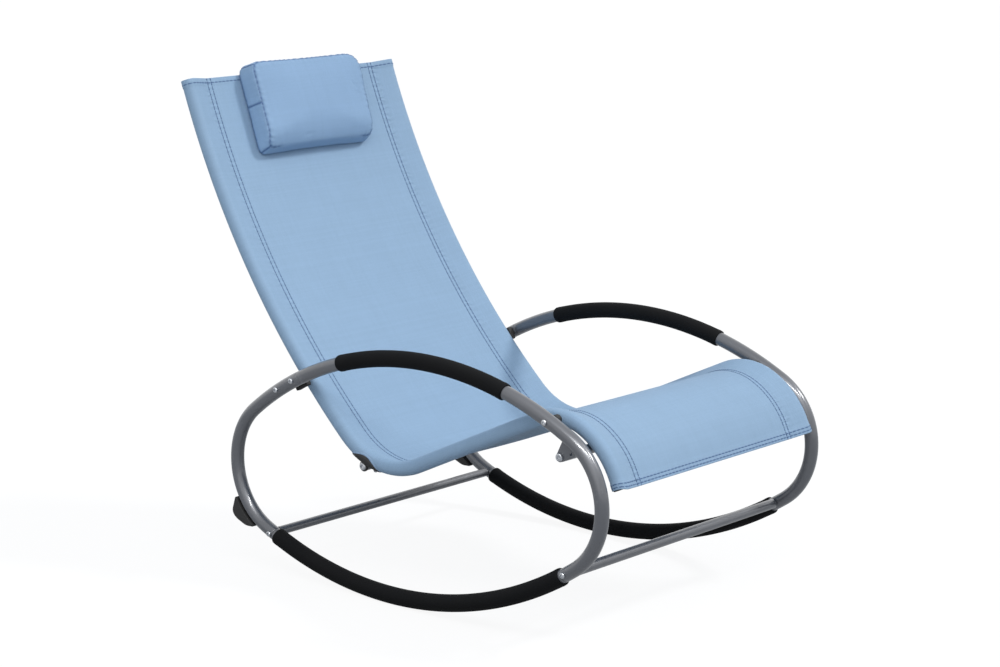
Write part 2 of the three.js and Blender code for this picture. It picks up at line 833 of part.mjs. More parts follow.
function slingShape() {
  const seam = railOffset - pocketWidth;
  const half = clothThickness / 2;
  const panel = panelShares.map((share) => [share * seam, half]);
  const outer = [[seam, -half], ...pocketRound(pocketRadius), [seam, half]];
  const mirror = ([x, y]) => [-x, -y];
  const outline = [...outer, ...panel, ...outer.map(mirror), ...panel.map(mirror)];
  const tail = [railOffset - pocketWidth + pocketTailInset, 0];
  const bore = [tail, ...pocketRound(pocketBore)];
  const shape = new THREE.Shape(outline.map(([x, y]) => new THREE.Vector2(x, y)));
  shape.holes = [bore, bore.map(mirror)].map((corners) => {
    return new THREE.Path(corners.map(([x, y]) => new THREE.Vector2(x, y)));
  });
  return shape;
}

// The sheet is drawn out straight, ring by ring, then laid along the rails with its hollow
function sling() {
  const seam = railOffset - pocketWidth;
  const steps = railRings.length - 1;
  const geometry = new THREE.ExtrudeGeometry(slingShape(), { depth: steps, steps, bevelEnabled: false });
  const positions = geometry.getAttribute('position');
  for (let i = 0; i < positions.count; i += 1) {
    const x = positions.getX(i);
    const place = railRings[Math.round(positions.getZ(i))];
    const sag = sagAt(place) * Math.max(0, 1 - (x / seam) ** 2);
    const { y, z } = railRoute.offset(place, sag - positions.getY(i));
    positions.setXYZ(i, x, y, z);
  }
  const inboard = railOffset - cornerRadiusOf(pocketBore + saddleThickness, railSides) - cutoutGap;
  const arch = archShape(saddleHalfLength, archRise);
  const cutters = [-1, 1].flatMap((side) => [
    slab(arch, side * inboard, side * (pocketFace + overrun), 1),
    ...[rearCrossing, frontCrossing].map(({ y, z }) => {
      const start = new THREE.Vector3(side * railOffset, y, z);
      return drill(screw.shank, start, outward(side), pocketRadius + overrun);
    }),
  ]);
  return cut(geometry, cutters);
}

// A point at a height over the sling, which runs straight from ring to ring
function overSling(place, height) {
  const next = Math.max(1, railRings.findIndex((ring) => ring >= place));
  const [from, to] = railRings.slice(next - 1, next + 1);
  const share = (place - from) / (to - from);
  const near = railRoute.offset(from, -height);
  const far = railRoute.offset(to, -height);
  return { y: THREE.MathUtils.lerp(near.y, far.y, share), z: THREE.MathUtils.lerp(near.z, far.z, share) };
}

// Outline of the pillow's section: place share from top to bottom, depth share from back to front
function pillowOutline() {
  const height = pillowAboveHem + pillowBelowHem;
  const corner = { along: pillowCorner / height, deep: pillowCorner / pillowDepth };
  const outline = [];
  const addCorner = (along, deep, from) => {
    for (let i = 0; i <= pillowCornerSteps; i += 1) {
      const angle = from + ((Math.PI / 2) * i) / pillowCornerSteps;
      outline.push([along + corner.along * Math.cos(angle), deep + corner.deep * Math.sin(angle)]);
    }
  };
  const addFace = (deep, from, to) => {
    for (let i = 1; i < pillowFaceSteps; i += 1) {
      outline.push([THREE.MathUtils.lerp(from, to, i / pillowFaceSteps), deep]);
    }
  };
  addCorner(1 - corner.along, 1 - corner.deep, 0);
  addFace(1, 1 - corner.along, corner.along);
  addCorner(corner.along, 1 - corner.deep, Math.PI / 2);
  addCorner(corner.along, corner.deep, Math.PI);
  addFace(0, corner.along, 1 - corner.along);
  addCorner(1 - corner.along, corner.deep, -Math.PI / 2);
  return outline;
}

// Point of the pillow's skin: crowned in front, drawn in between its corners, narrower in front
function pillowPoint(across, end, [along, deep]) {
  const alongShare = 0.5 + (along - 0.5) * end;
  const deepShare = 0.5 + (deep - 0.5) * end;
  const fromMiddle = 2 * alongShare - 1;
  const bulge = (1 - across ** 2) * (1 - fromMiddle ** 2);
  const halfWidth = THREE.MathUtils.lerp(pillowBackHalfWidth, pillowFrontHalfWidth, deepShare);
  const waist = pillowDrawIn * (1 - fromMiddle ** 2) * across ** 2;
  const top = -pillowAboveHem + pillowDrawIn * (1 - across ** 2) * deepShare;
  const bottom = pillowBelowHem - (pillowUndercut + pillowDrawIn * (1 - across ** 2)) * deepShare;
  const seat = clothThickness / 2 + clothGap;
  const height = seat + pillowDepth * deepShare + pillowCrown * bulge * deepShare ** 2;
  const { y, z } = overSling(THREE.MathUtils.lerp(top, bottom, alongShare), height);
  return [across * (halfWidth - waist), y, z];
}

function pillow() {
  const outline = pillowOutline();
  const rings = pillowRingShares.map((across, index) => {
    return outline.map((corner) => pillowPoint(across, pillowEndShares[index], corner));
  });
  const count = outline.length;
  const faces = [];
  rings.slice(1).forEach((ring, row) => {
    for (let i = 0; i < count; i += 1) {
      const a = row * count + i;
      const b = row * count + ((i + 1) % count);
      faces.push(a, b + count, b, a, a + count, b + count);
    }
  });
  const last = (rings.length - 1) * count;
  for (let i = 1; i < count - 1; i += 1) {
    faces.push(0, i, i + 1, last, last + i + 1, last + i);
  }
  const geometry = new THREE.BufferGeometry();
  geometry.setAttribute('position', new THREE.Float32BufferAttribute(rings.flat(2), 3));
  geometry.setIndex(faces);
  return geometry;
}

// Strip over the top hem and straight down behind it, square to the backrest's top end
function pillowFlap() {
  const front = -clothThickness / 2;
  const hanging = clothThickness / 2 + clothGap;
  const back = hanging + flapThickness;
  const under = -clothGap;
  const top = under - flapThickness;
  const { y, z, heading } = railRoute.at(0);
  const corners = [
    [top, front],
    [top, back],
    [flapLength, back],
    [flapLength, hanging],
    [under, hanging],
    [under, front],
  ].map(([along, deep]) => {
    const dy = along * Math.cos(heading) - deep * Math.sin(heading);
    const dz = along * Math.sin(heading) + deep * Math.cos(heading);
    return new THREE.Vector2(y + dy, z + dz);
  });
  return slab(new THREE.Shape(corners), -flapHalfWidth, flapHalfWidth, 1);
}

// Finishes
const painted = (color) => new THREE.MeshStandardMaterial({ color, roughness: 0.42, metalness: 0.6 });
const greyPaint = painted(0x6b6e74);
const blackFoam = new THREE.MeshStandardMaterial({ color: 0x121214, roughness: 0.62, metalness: 0 });
const blackPlastic = new THREE.MeshStandardMaterial({ color: 0x17171a, roughness: 0.5, metalness: 0 });
const zinc = new THREE.MeshStandardMaterial({ color: 0xc9cdd2, roughness: 0.28, metalness: 1 });
const blueMesh = new THREE.MeshStandardMaterial({ color: 0x8fb3da, roughness: 0.85, metalness: 0 });

const chair = new THREE.Group();

function add(name, geometry, material, x = 0) {
  const mesh = new THREE.Mesh(welded(geometry), material);
  mesh.name = name;
  mesh.position.x = x;
  chair.add(mesh);
  return mesh;
}

function addScrew(name, size, length, seat, direction) {
  const mesh = add(name, turnTo(screwGeometry(size, length), direction), zinc);
  mesh.position.copy(seat).addScaledVector(direction, slipGap);
}

function addHoop(hand, side) {
  const x = side * hoopOffset;
  add(`rear_bow_${hand}`, rearBow(), greyPaint, x);
  add(`front_bow_${hand}`, frontBow(), greyPaint, x);
  add(`rocker_tube_${hand}`, rockerTube(), greyPaint, x);
  add(`rocker_sleeve_${hand}`, rockerSleeve(), blackFoam, x);
  add(`arm_sleeve_${hand}`, armSleeve(), blackFoam, x);
  add(`rear_stop_${hand}`, rearStop(), blackPlastic, x);
  add(`rear_mount_block_${hand}`, rearMountBlock(side), blackPlastic, x);
  add(`front_bracket_${hand}`, frontBracket(side), greyPaint);
  const spacer = turnTo(frontMountSpacer(), outward(side));
  add(`front_mount_spacer_${hand}`, spacer, blackPlastic).position.set(
    side * (pocketFace + clothGap),
    frontCrossing.y,
    frontCrossing.z,
  );
}

function addRail(hand, side) {
  const x = side * railOffset;
  add(`side_rail_${hand}`, sideRail(side), greyPaint, x);
  add(`corner_saddle_${hand}`, cornerSaddle(side), blackPlastic, x);
  const ends = { top: [railTop, -1], front: [railFoot, 1] };
  Object.entries(ends).forEach(([end, [place, way]]) => {
    const { y, z, heading } = railRoute.at(place);
    const direction = new THREE.Vector3(0, way * Math.cos(heading), way * Math.sin(heading));
    const plug = add(`rail_${end}_plug_${hand}`, turnTo(railPlug(), direction), blackPlastic, x);
    plug.position.set(x, y, z).addScaledVector(direction, slipGap);
  });
}

function addScrews(hand, side) {
  const direction = outward(side);
  const hoopFace = hoopOffset + hoopTubeRadius;
  const onHoop = (place) => {
    const { y, z } = hoop.at(place);
    return new THREE.Vector3(side * hoopFace, y, z);
  };
  const throughHoop = hoopTubeRadius * 2;
  const toRail = hoopFace + slipGap - (railOffset + railRadius - railWall - railScrewBite);
  const toBar = hoopFace + slipGap - (hoopInnerFace - slipGap - barScrewBite);
  addScrew(`splice_screw_${hand}`, screw, throughHoop, onHoop(spliceScrew), direction);
  addScrew(`rear_rail_screw_${hand}`, screw, toRail, onHoop(rearRailScrew), direction);
  addScrew(`front_rail_screw_${hand}`, screw, toRail, onHoop(frontRailScrew), direction);
  addScrew(`rear_bar_screw_${hand}`, screw, toBar, onHoop(rearBarScrew), direction);
  addScrew(`front_bar_screw_${hand}`, screw, toBar, onHoop(frontBarScrew), direction);

  const front = frontSpreaderPoint();
  const bracketSeat = new THREE.Vector3(side * (hoopInnerFace - slipGap), front.y, front.z);
  const bracketLength = bracketThickness + slipGap * 2 + boltBite;
  addScrew(`bracket_bolt_${hand}`, bolt, bracketLength, bracketSeat, direction);

  const rear = rearSpreaderPoint();
  const earFace = side * (rearSpreaderHalf + slipGap + earThickness);
  const cornerLength = earThickness + slipGap * 2 + boltBite;
  const earSeat = new THREE.Vector3(earFace, rear.y, rear.z);
  addScrew(`corner_bolt_${hand}`, bolt, cornerLength, earSeat, direction);

  const saddle = saddleScrewFrame();
  saddle.seat.x = side * railOffset;
  addScrew(`saddle_screw_${hand}`, smallScrew, saddleScrewLength, saddle.seat, saddle.direction);

  const stop = stopScrewFrame();
  stop.seat.x = side * hoopOffset;
  addScrew(`stop_screw_${hand}`, smallScrew, stopScrewLength, stop.seat, stop.direction);
}

function addBar(name, { y, z }, geometry) {
  add(name, geometry, greyPaint).position.set(0, y, z);
}

const barHalf = hoopInnerFace - slipGap;
const frontSpreaderHalf = barHalf - bracketThickness - slipGap;
[['right', -1], ['left', 1]].forEach(([hand, side]) => {
  addHoop(hand, side);
  addRail(hand, side);
  addScrews(hand, side);
});
const rearBar = barGeometry(rearBarRadius, barWall, barHalf, screw.shank);
const frontBar = barGeometry(frontBarRadius, barWall, barHalf, screw.shank);
const rearSpreader = barGeometry(spreaderRadius, spreaderWall, rearSpreaderHalf, bolt.shank);
const frontSpreader = barGeometry(spreaderRadius, spreaderWall, frontSpreaderHalf, bolt.shank);
addBar('rear_cross_bar', hoop.at(rearBarScrew), rearBar);
addBar('front_cross_bar', hoop.at(frontBarScrew), frontBar);
addBar('rear_spreader', rearSpreaderPoint(), rearSpreader);
addBar('front_spreader', frontSpreaderPoint(), frontSpreader);
add('sling', sling(), blueMesh);
add('pillow', pillow(), blueMesh);
add('pillow_flap', pillowFlap(), blueMesh);

// The origin is on the floor, under the middle of the chair's length
chair.updateMatrixWorld(true);
const { min, max } = new THREE.Box3().setFromObject(chair);
chair.position.y = -(min.y + max.y) / 2;

export default chair;
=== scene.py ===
"""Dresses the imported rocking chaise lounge: bent tubes, foam sleeves, a sewn mesh sling and a pillow.

Lengths are in metres and +Z is up. The sitter faces -Y, so the right-hand side is at -X.
"""

from __future__ import annotations

import logging
import math
from dataclasses import dataclass, field, replace
from enum import Enum
from typing import ClassVar

import bmesh
import bpy
import numpy as np
from mathutils import Matrix, Vector
from mathutils.bvhtree import BVHTree


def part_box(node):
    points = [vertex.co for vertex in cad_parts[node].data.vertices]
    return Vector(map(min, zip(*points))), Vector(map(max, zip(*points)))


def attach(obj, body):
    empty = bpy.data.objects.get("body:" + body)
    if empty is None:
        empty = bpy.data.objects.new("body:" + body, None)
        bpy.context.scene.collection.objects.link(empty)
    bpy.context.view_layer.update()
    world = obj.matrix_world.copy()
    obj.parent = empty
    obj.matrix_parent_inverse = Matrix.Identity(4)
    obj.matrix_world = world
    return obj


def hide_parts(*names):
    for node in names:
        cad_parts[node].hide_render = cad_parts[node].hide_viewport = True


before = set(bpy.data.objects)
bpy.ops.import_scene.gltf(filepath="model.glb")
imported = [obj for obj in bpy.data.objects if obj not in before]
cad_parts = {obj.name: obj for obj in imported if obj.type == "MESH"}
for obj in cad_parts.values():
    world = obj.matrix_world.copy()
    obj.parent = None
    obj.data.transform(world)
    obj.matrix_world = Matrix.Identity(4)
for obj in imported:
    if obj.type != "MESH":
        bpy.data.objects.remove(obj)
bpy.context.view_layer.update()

logging.basicConfig(level=logging.INFO, format="%(name)s: %(message)s")
log = logging.getLogger("chaise")

Array = np.ndarray
Colour = tuple[float, float, float]
Piece = bpy.types.Object
Socket = bpy.types.NodeSocket
Tree = bpy.types.NodeTree

FRAME_BODY = "frame"
PILLOW_BODY = "pillow"
SIDES = {"right": -1.0, "left": 1.0}
X_AXIS = np.array([1.0, 0.0, 0.0])
# Holes for the screws and for the larger bolts.
SCREW_BORE = 0.0031
BOLT_BORE = 0.0041
# A rounding too small to see, for the corners of an outline that stay crisp.
CRISP = 1e-5


class Slot(Enum):
    """The record's material slots."""

    PAINT = "frame_paint"
    FOAM = "foam_sleeve"
    PLASTIC = "black_plastic"
    ZINC = "zinc_screw"
    MESH = "mesh_fabric"


# Mesh tools


def unit(vectors: Array) -> Array:
    """Vectors divided by their lengths."""
    return vectors / np.maximum(np.linalg.norm(vectors, axis=-1, keepdims=True), 1e-12)


def eased(share: Array) -> Array:
    """A share from 0 to 1 with a soft start and end: 3t squared less 2t cubed."""
    t = np.clip(share, 0.0, 1.0)
    return t * t * (3.0 - 2.0 * t)


def bell(distance: Array, width: float) -> Array:
    """A bell curve: e to the minus (distance over width) squared."""
    return np.exp(-((distance / width) ** 2))


def full_turn(count: int) -> Array:
    """Evenly spaced angles once round a circle."""
    return np.linspace(0.0, 2 * math.pi, count, endpoint=False)


def fillet(corners: Array, radius: float | Array, steps: int) -> Array:
    """Rounds the corners of a closed outline.

    Each corner turns into a quadratic curve that leaves the edge before it and joins the edge
    after it at the radius's distance, or at 45% of a shorter edge.

    Args:
        corners: The outline's corners, one row each.
        radius: One distance for all corners, or one per corner.
        steps: Edges in each rounding.

    Returns:
        The rounded outline's points.
    """
    radii = np.broadcast_to(np.asarray(radius, float), (len(corners),))[:, None]
    before = np.roll(corners, 1, 0) - corners
    after = np.roll(corners, -1, 0) - corners
    start = corners + unit(before) * np.minimum(radii, 0.45 * np.linalg.norm(before, axis=1)[:, None])
    stop = corners + unit(after) * np.minimum(radii, 0.45 * np.linalg.norm(after, axis=1)[:, None])
    t = np.linspace(0.0, 1.0, steps + 1)[None, :, None]
    curve = (1 - t) ** 2 * start[:, None] + 2 * t * (1 - t) * corners[:, None] + t**2 * stop[:, None]
    return curve.reshape(-1, corners.shape[1])


def resample(points: Array, step: float) -> Array:
    """The points of a closed outline, with new ones between them where an edge is longer than a step."""
    gap = np.roll(points, -1, 0) - points
    counts = np.maximum(1, np.ceil(np.linalg.norm(gap, axis=1) / step - 1e-9)).astype(int)
    index = np.repeat(np.arange(len(points)), counts)
    share = (np.arange(counts.sum()) - np.repeat(np.cumsum(counts) - counts, counts)) / counts[index]
    return points[index] + gap[index] * share[:, None]


def grid_faces(rows: int, columns: int, wrap_rows: bool = False, wrap_columns: bool = False) -> Array:
    """Corner numbers of the four-sided faces of a grid whose points are stored row by row."""
    row = np.arange(rows if wrap_rows else rows - 1)[:, None]
    column = np.arange(columns if wrap_columns else columns - 1)[None, :]
    below, right = (row + 1) % rows, (column + 1) % columns
    here, under = row * columns, below * columns
    return np.stack([here + column, here + right, under + right, under + column], -1).reshape(-1, 4)


@dataclass
class Shape:
    """Points and faces of a mesh in the making, with a flat-cloth coordinate for each point if it has one."""

    points: Array
    faces: Array
    cloth: Array | None = None

    def mesh(self, name: str) -> bpy.types.Mesh:
        """The mesh as it stands, with its flat-cloth coordinates if it has them."""
        made = bpy.data.meshes.new(name)
        made.from_pydata(self.points.tolist(), [], self.faces.tolist())
        if self.cloth is not None:
            lay_cloth(made, self.cloth[corner_points(made)])
        return made

    def piece(self, name: str, weld: float = 1e-6, sharp: float = 40.0) -> Piece:
        """Makes the Blender object.

        Args:
            name: The object's name.
            weld: Points closer than this become one.
            sharp: Edges that turn by more degrees than this stay crisp.

        Returns:
            The object, at the origin, with closed seams and faces that point outwards.
        """
        mesh = self.mesh(name)
        tidy(mesh, weld)
        return link(name, mesh, sharp)


def read(items: bpy.types.bpy_prop_collection, key: str, width: int = 1, kind: type = np.float64) -> Array:
    """One property of all points, faces or corners of a mesh, in rows of the given width."""
    values = np.empty(len(items) * width, kind)
    items.foreach_get(key, values)
    return values.reshape(-1, width) if width > 1 else values


def corner_points(mesh: bpy.types.Mesh) -> Array:
    """The number of the point at each corner of each face."""
    return read(mesh.loops, "vertex_index", kind=np.int64)


def lay_cloth(mesh: bpy.types.Mesh, cloth: Array) -> None:
    """Writes the flat-cloth coordinate of each face corner into the mesh's UV map, in metres."""
    mesh.uv_layers.new(name="cloth").data.foreach_set("uv", cloth.astype(np.float32).ravel())


def mark(mesh: bpy.types.Mesh, name: str, values: Array) -> None:
    """Stores a number for each point of a mesh."""
    mesh.attributes.new(name, "FLOAT", "POINT").data.foreach_set("value", values.astype(np.float32))


def weigh(piece: Piece, name: str, shares: Array, digits: int) -> None:
    """Puts the points of a piece into a vertex group by their shares, rounded to a few levels."""
    group, rounded = piece.vertex_groups.new(name=name), np.round(shares, digits)
    for level in np.unique(rounded):
        group.add(np.nonzero(rounded == level)[0].tolist(), float(level), "REPLACE")


def tidy(mesh: bpy.types.Mesh, weld: float) -> None:
    """Welds coincident points of a mesh and turns its faces outwards."""
    work = bmesh.new()
    work.from_mesh(mesh)
    bmesh.ops.remove_doubles(work, verts=work.verts, dist=weld)
    bmesh.ops.recalc_face_normals(work, faces=work.faces)
    work.to_mesh(mesh)
    work.free()


def shade(mesh: bpy.types.Mesh, sharp: float) -> None:
    """Shades a mesh smoothly, except over edges that turn by more degrees than this."""
    mesh.polygons.foreach_set("use_smooth", np.ones(len(mesh.polygons), bool))
    mesh.set_sharp_from_angle(angle=math.radians(sharp))


def add(name: str, data: bpy.types.ID) -> Piece:
    """Puts a mesh, curve, lamp or camera into the scene as an object at the origin."""
    made = bpy.data.objects.new(name, data)
    bpy.context.scene.collection.objects.link(made)
    return made


def link(name: str, mesh: bpy.types.Mesh, sharp: float = 40.0) -> Piece:
    """Puts a mesh into the scene as a smooth-shaded object at the origin."""
    shade(mesh, sharp)
    return add(name, mesh)


def coordinates(mesh: bpy.types.Mesh) -> Array:
    """All points of a mesh."""
    return read(mesh.vertices, "co", 3)


def place_points(mesh: bpy.types.Mesh, points: Array) -> None:
    """Moves all points of a mesh."""
    mesh.vertices.foreach_set("co", points.astype(np.float32).ravel())
    mesh.update()


def baked(piece: Piece, name: str) -> bpy.types.Mesh:
    """The mesh of a piece with its modifiers applied."""
    ready = piece.evaluated_get(bpy.context.evaluated_depsgraph_get())
    mesh = bpy.data.meshes.new_from_object(ready)
    mesh.name = name
    return mesh


def discard(piece: Piece) -> None:
    """Takes a helper object out of the scene."""
    bpy.data.objects.remove(piece, do_unlink=True)


def plate(name: str, outlines: list[Array], x_range: tuple[float, float], bevel: float) -> Piece:
    """A flat plate square to X with rounded rims, cut to outlines of [y, z] points.

    Args:
        name: The object's name.
        outlines: The rim first, and then the holes.
        x_range: The plate's two faces.
        bevel: How far the rims are rounded.

    Returns:
        The plate as a mesh object.
    """
    curve = bpy.data.curves.new(name, "CURVE")
    curve.dimensions = "2D"
    curve.fill_mode = "BOTH"
    for outline in outlines:
        spline = curve.splines.new("POLY")
        spline.points.add(len(outline) - 1)
        flat = np.column_stack([outline, np.zeros(len(outline)), np.ones(len(outline))])
        spline.points.foreach_set("co", flat.astype(np.float32).ravel())
        spline.use_cyclic_u = True
    curve.extrude = abs(x_range[1] - x_range[0]) / 2 - bevel
    curve.bevel_depth, curve.bevel_resolution, curve.offset = bevel, 2, -bevel
    helper = add(name, curve)
    mesh = baked(helper, name)
    discard(helper)
    flat = coordinates(mesh)
    middle = (x_range[0] + x_range[1]) / 2
    place_points(mesh, np.column_stack([flat[:, 2] + middle, flat[:, 0], flat[:, 1]]))
    tidy(mesh, 1e-6)
    return link(name, mesh, 30.0)


def carve(piece: Piece, cutter: Piece) -> None:
    """Cuts the cutter's volume out of a piece and discards the cutter."""
    modifier = piece.modifiers.new("carve", "BOOLEAN")
    modifier.object, modifier.operation, modifier.solver = cutter, "DIFFERENCE", "MANIFOLD"
    mesh = baked(piece, piece.name)
    piece.modifiers.clear()
    piece.data = mesh
    shade(mesh, 30.0)
    discard(cutter)


def cad_box(node: str) -> tuple[Array, Array, Array]:
    """The lowest corner, the highest corner and the middle of a CAD node's box."""
    low, high = (np.array(corner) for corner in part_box(node))
    return low, high, (low + high) / 2


def coat(piece: Piece, finish: Finish) -> None:
    """Makes a finish the only material of a piece."""
    piece.data.materials.clear()
    piece.data.materials.append(finish.material())


def dress(piece: Piece, finish: Finish, *nodes: str, body: str = FRAME_BODY) -> Piece:
    """Gives a piece its finish and the body it moves with, and hides the CAD nodes it stands for."""
    coat(piece, finish)
    if nodes:
        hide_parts(*nodes)
    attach(piece, body)
    log.info("%s: %d faces", piece.name, len(piece.data.polygons))
    return piece


# Routes and turned shapes


class Route:
    """A flat path in the YZ plane, made of round and straight runs that meet smoothly."""

    def __init__(self, heading: float, runs: list[tuple[float, float]], closed: bool = False) -> None:
        """Lays the runs end to end from the origin.

        Args:
            heading: Direction at the start, in radians from +Y towards +Z.
            runs: Length and turn of each run, the turn positive to the left.
            closed: Whether places wrap round at the end.
        """
        self.closed = closed
        self.lengths = np.array([length for length, _ in runs])
        turns = np.array([turn for _, turn in runs])
        self.curvatures = turns / self.lengths
        self.starts = np.concatenate([[0.0], np.cumsum(self.lengths)[:-1]])
        self.headings = heading + np.concatenate([[0.0], np.cumsum(turns)[:-1]])
        self.total = float(self.lengths.sum())
        self.ys = np.zeros(len(runs))
        self.zs = np.zeros(len(runs))
        for run in range(1, len(runs)):
            self.ys[run], self.zs[run], _ = self._along(run - 1, self.lengths[run - 1])

    def _along(self, run: Array | int, distance: Array | float) -> tuple[Array, Array, Array]:
        """Point and heading at a distance along a run: a chord of its circle, or a straight step."""
        bend, heading = self.curvatures[run], self.headings[run]
        turned = heading + bend * distance
        radius = 1.0 / np.where(np.abs(bend) > 1e-9, bend, 1.0)
        straight = np.abs(bend) <= 1e-9
        step_y = np.where(straight, distance * np.cos(heading), radius * (np.sin(turned) - np.sin(heading)))
        step_z = np.where(straight, distance * np.sin(heading), radius * (np.cos(heading) - np.cos(turned)))
        return self.ys[run] + step_y, self.zs[run] + step_z, turned

    def at(self, place: Array | float) -> tuple[Array, Array, Array]:
        """Y, Z and heading at places along the path."""
        place = np.asarray(place, float)
        if self.closed:
            place = np.mod(place, self.total)
        run = np.clip(np.searchsorted(self.starts, place, side="right") - 1, 0, len(self.starts) - 1)
        return self._along(run, place - self.starts[run])

    def offset(self, place: Array | float, distance: Array | float) -> tuple[Array, Array]:
        """Y and Z of points that lie to the left of the path by the given distance."""
        y, z, heading = self.at(place)
        return y - distance * np.sin(heading), z + distance * np.cos(heading)

    def outline(self, corners: list[tuple[float, float]]) -> Array:
        """Corners given as (place, distance to the left), as [y, z] points."""
        places, distances = np.array(corners, float).T
        return np.column_stack(self.offset(places, distances))

    def shift(self, dy: float, dz: float) -> "Route":
        """Moves the whole path."""
        self.ys, self.zs = self.ys + dy, self.zs + dz
        return self


def swept(route: Route, wall: Array, x: float, sides: int) -> Shape:
    """A closed outline of [radius, place] points turned round a route.

    A point at angle a lies at x + r sin a sideways and at r cos a to the left of the path.

    Args:
        route: The path of the middle line.
        wall: The outline's points, one row each.
        x: Where the route's plane is.
        sides: Points round the path.

    Returns:
        The surface, closed both ways.
    """
    angle = full_turn(sides)
    radius, place = wall[:, :1], wall[:, 1:]
    y, z = route.offset(place + np.zeros_like(angle), radius * np.cos(angle))
    points = np.stack([x + radius * np.sin(angle), y, z], -1).reshape(-1, 3)
    return Shape(points, grid_faces(len(wall), sides, True, True))


def bent_tube(route: Route, corners: list[tuple[float, float]], x: float, rounding: float) -> Shape:
    """A tube along a route, from the (radius, place) corners of its wall, which are rounded."""
    return swept(route, resample(fillet(np.array(corners, float), rounding, 3), 0.007), x, 44)


def turned(profile: Array, origin: Array, axis: Array, sides: int = 48, hexed: Array | None = None) -> Shape:
    """A profile of [radius, height] points turned round an axis, from pole to pole.

    Rows marked as hexed are six-sided: their radius is divided by the cosine of the angle to
    the nearest flat.

    Args:
        profile: Radius and height along the axis, one row each.
        origin: Where height is nought.
        axis: The direction of growing height.
        sides: Points round the axis.
        hexed: For each row, 1 where it is six-sided and 0 where it is round.

    Returns:
        The turned surface.
    """
    along = unit(np.asarray(axis, float))
    aside = unit(np.cross(along, [0.0, 0.31, 0.95]))
    across = np.cross(along, aside)
    angle = full_turn(sides)
    to_flat = np.mod(angle + math.pi / 6, math.pi / 3) - math.pi / 6
    six = np.zeros(len(profile)) if hexed is None else np.asarray(hexed, float)
    stretch = 1.0 + six[:, None] * (1.0 / np.cos(to_flat)[None, :] - 1.0)
    radius = profile[:, :1] * stretch
    ring = np.cos(angle)[:, None] * aside + np.sin(angle)[:, None] * across
    points = np.asarray(origin, float) + radius[..., None] * ring + profile[:, 1][:, None, None] * along
    return Shape(points.reshape(-1, 3), grid_faces(len(profile), sides, False, True))


def turned_ring(outline: Array, middle: Array, axis: Array, sides: int = 48) -> Shape:
    """A closed outline of [radius, height] points turned round an axis."""
    return turned(np.vstack([outline, outline[:1]]), middle, axis, sides)


def round_bar(name: str, node: str, radius: float, wall: float, bore: float, plug: float) -> Piece:
    """A straight tube along X that fills a CAD bar's place, bored narrower at its two ends.

    Args:
        name: The piece's name.
        node: The CAD bar, which gives the middle line and the length.
        radius: Outer radius.
        wall: Thickness of the tube.
        bore: Radius of the threaded ends' holes.
        plug: Length of the threaded ends.

    Returns:
        The bar.
    """
    low, high, middle = cad_box(node)
    half = (high[0] - low[0]) / 2
    inner, neck = radius - wall, half - plug
    rim = [(radius, -half), (radius, half), (bore, half), (bore, neck), (inner, neck)]
    rim += [(inner, -neck), (bore, -neck), (bore, -half)]
    return turned_ring(resample(fillet(np.array(rim), 0.0007, 3), 0.02), middle, X_AXIS, 40).piece(name)


# Finishes


def linear(red: int, green: int, blue: int) -> Colour:
    """A colour named by its 0 to 255 screen values, as linear light."""
    values = (red, green, blue)
    return tuple(((v / 255 + 0.055) / 1.055) ** 2.4 if v > 10 else v / 255 / 12.92 for v in values)


def wire(tree: Tree, node: bpy.types.Node, inputs: dict) -> None:
    """Links a node's inputs to the sockets given for them, and sets those given a value."""
    for key, value in inputs.items():
        if isinstance(value, Socket):
            tree.links.new(value, node.inputs[key])
        else:
            node.inputs[key].default_value = value


def put(tree: Tree, kind: str, inputs: dict | None = None, **settings: object) -> bpy.types.Node:
    """Adds a node, sets its options, and links or sets its inputs.

    Args:
        tree: The node tree.
        kind: The node's type.
        inputs: Sockets by name or number, each with a socket to link or a value to set.
        **settings: The node's own options.

    Returns:
        The node.
    """
    node = tree.nodes.new(kind)
    for key, value in settings.items():
        setattr(node, key, value)
    wire(tree, node, inputs or {})
    return node


def calc(tree: Tree, operation: str, *values: Socket | float) -> Socket:
    """The result of a Math node."""
    return put(tree, "ShaderNodeMath", dict(enumerate(values)), operation=operation).outputs[0]


def blend_colours(
    tree: Tree, share: Socket | float, first: Socket | Colour, second: Socket | Colour
) -> Socket:
    """Two colours mixed by a share."""
    whole = [value if isinstance(value, Socket) else (*value, 1.0) for value in (first, second)]
    return put(tree, "ShaderNodeMix", {0: share, 6: whole[0], 7: whole[1]}, data_type="RGBA").outputs[2]


def span(tree: Tree, value: Socket, from_range: tuple[float, float], to_range: tuple[float, float]) -> Socket:
    """A value mapped from one range to another and held inside it."""
    limits = {0: value, 1: from_range[0], 2: from_range[1], 3: to_range[0], 4: to_range[1]}
    return put(tree, "ShaderNodeMapRange", limits, clamp=True).outputs[0]


def noise(tree: Tree, where: Socket, scale: Socket | float, detail: float, **more: float) -> Socket:
    """The value of a noise texture."""
    inputs = {"Vector": where, "Scale": scale, "Detail": detail, **more}
    return put(tree, "ShaderNodeTexNoise", inputs).outputs[0]


def fading(tree: Tree, value: Socket) -> Socket:
    """A bell curve: e to the minus value squared."""
    return calc(tree, "EXPONENT", calc(tree, "MULTIPLY", calc(tree, "MULTIPLY", value, value), -1.0))


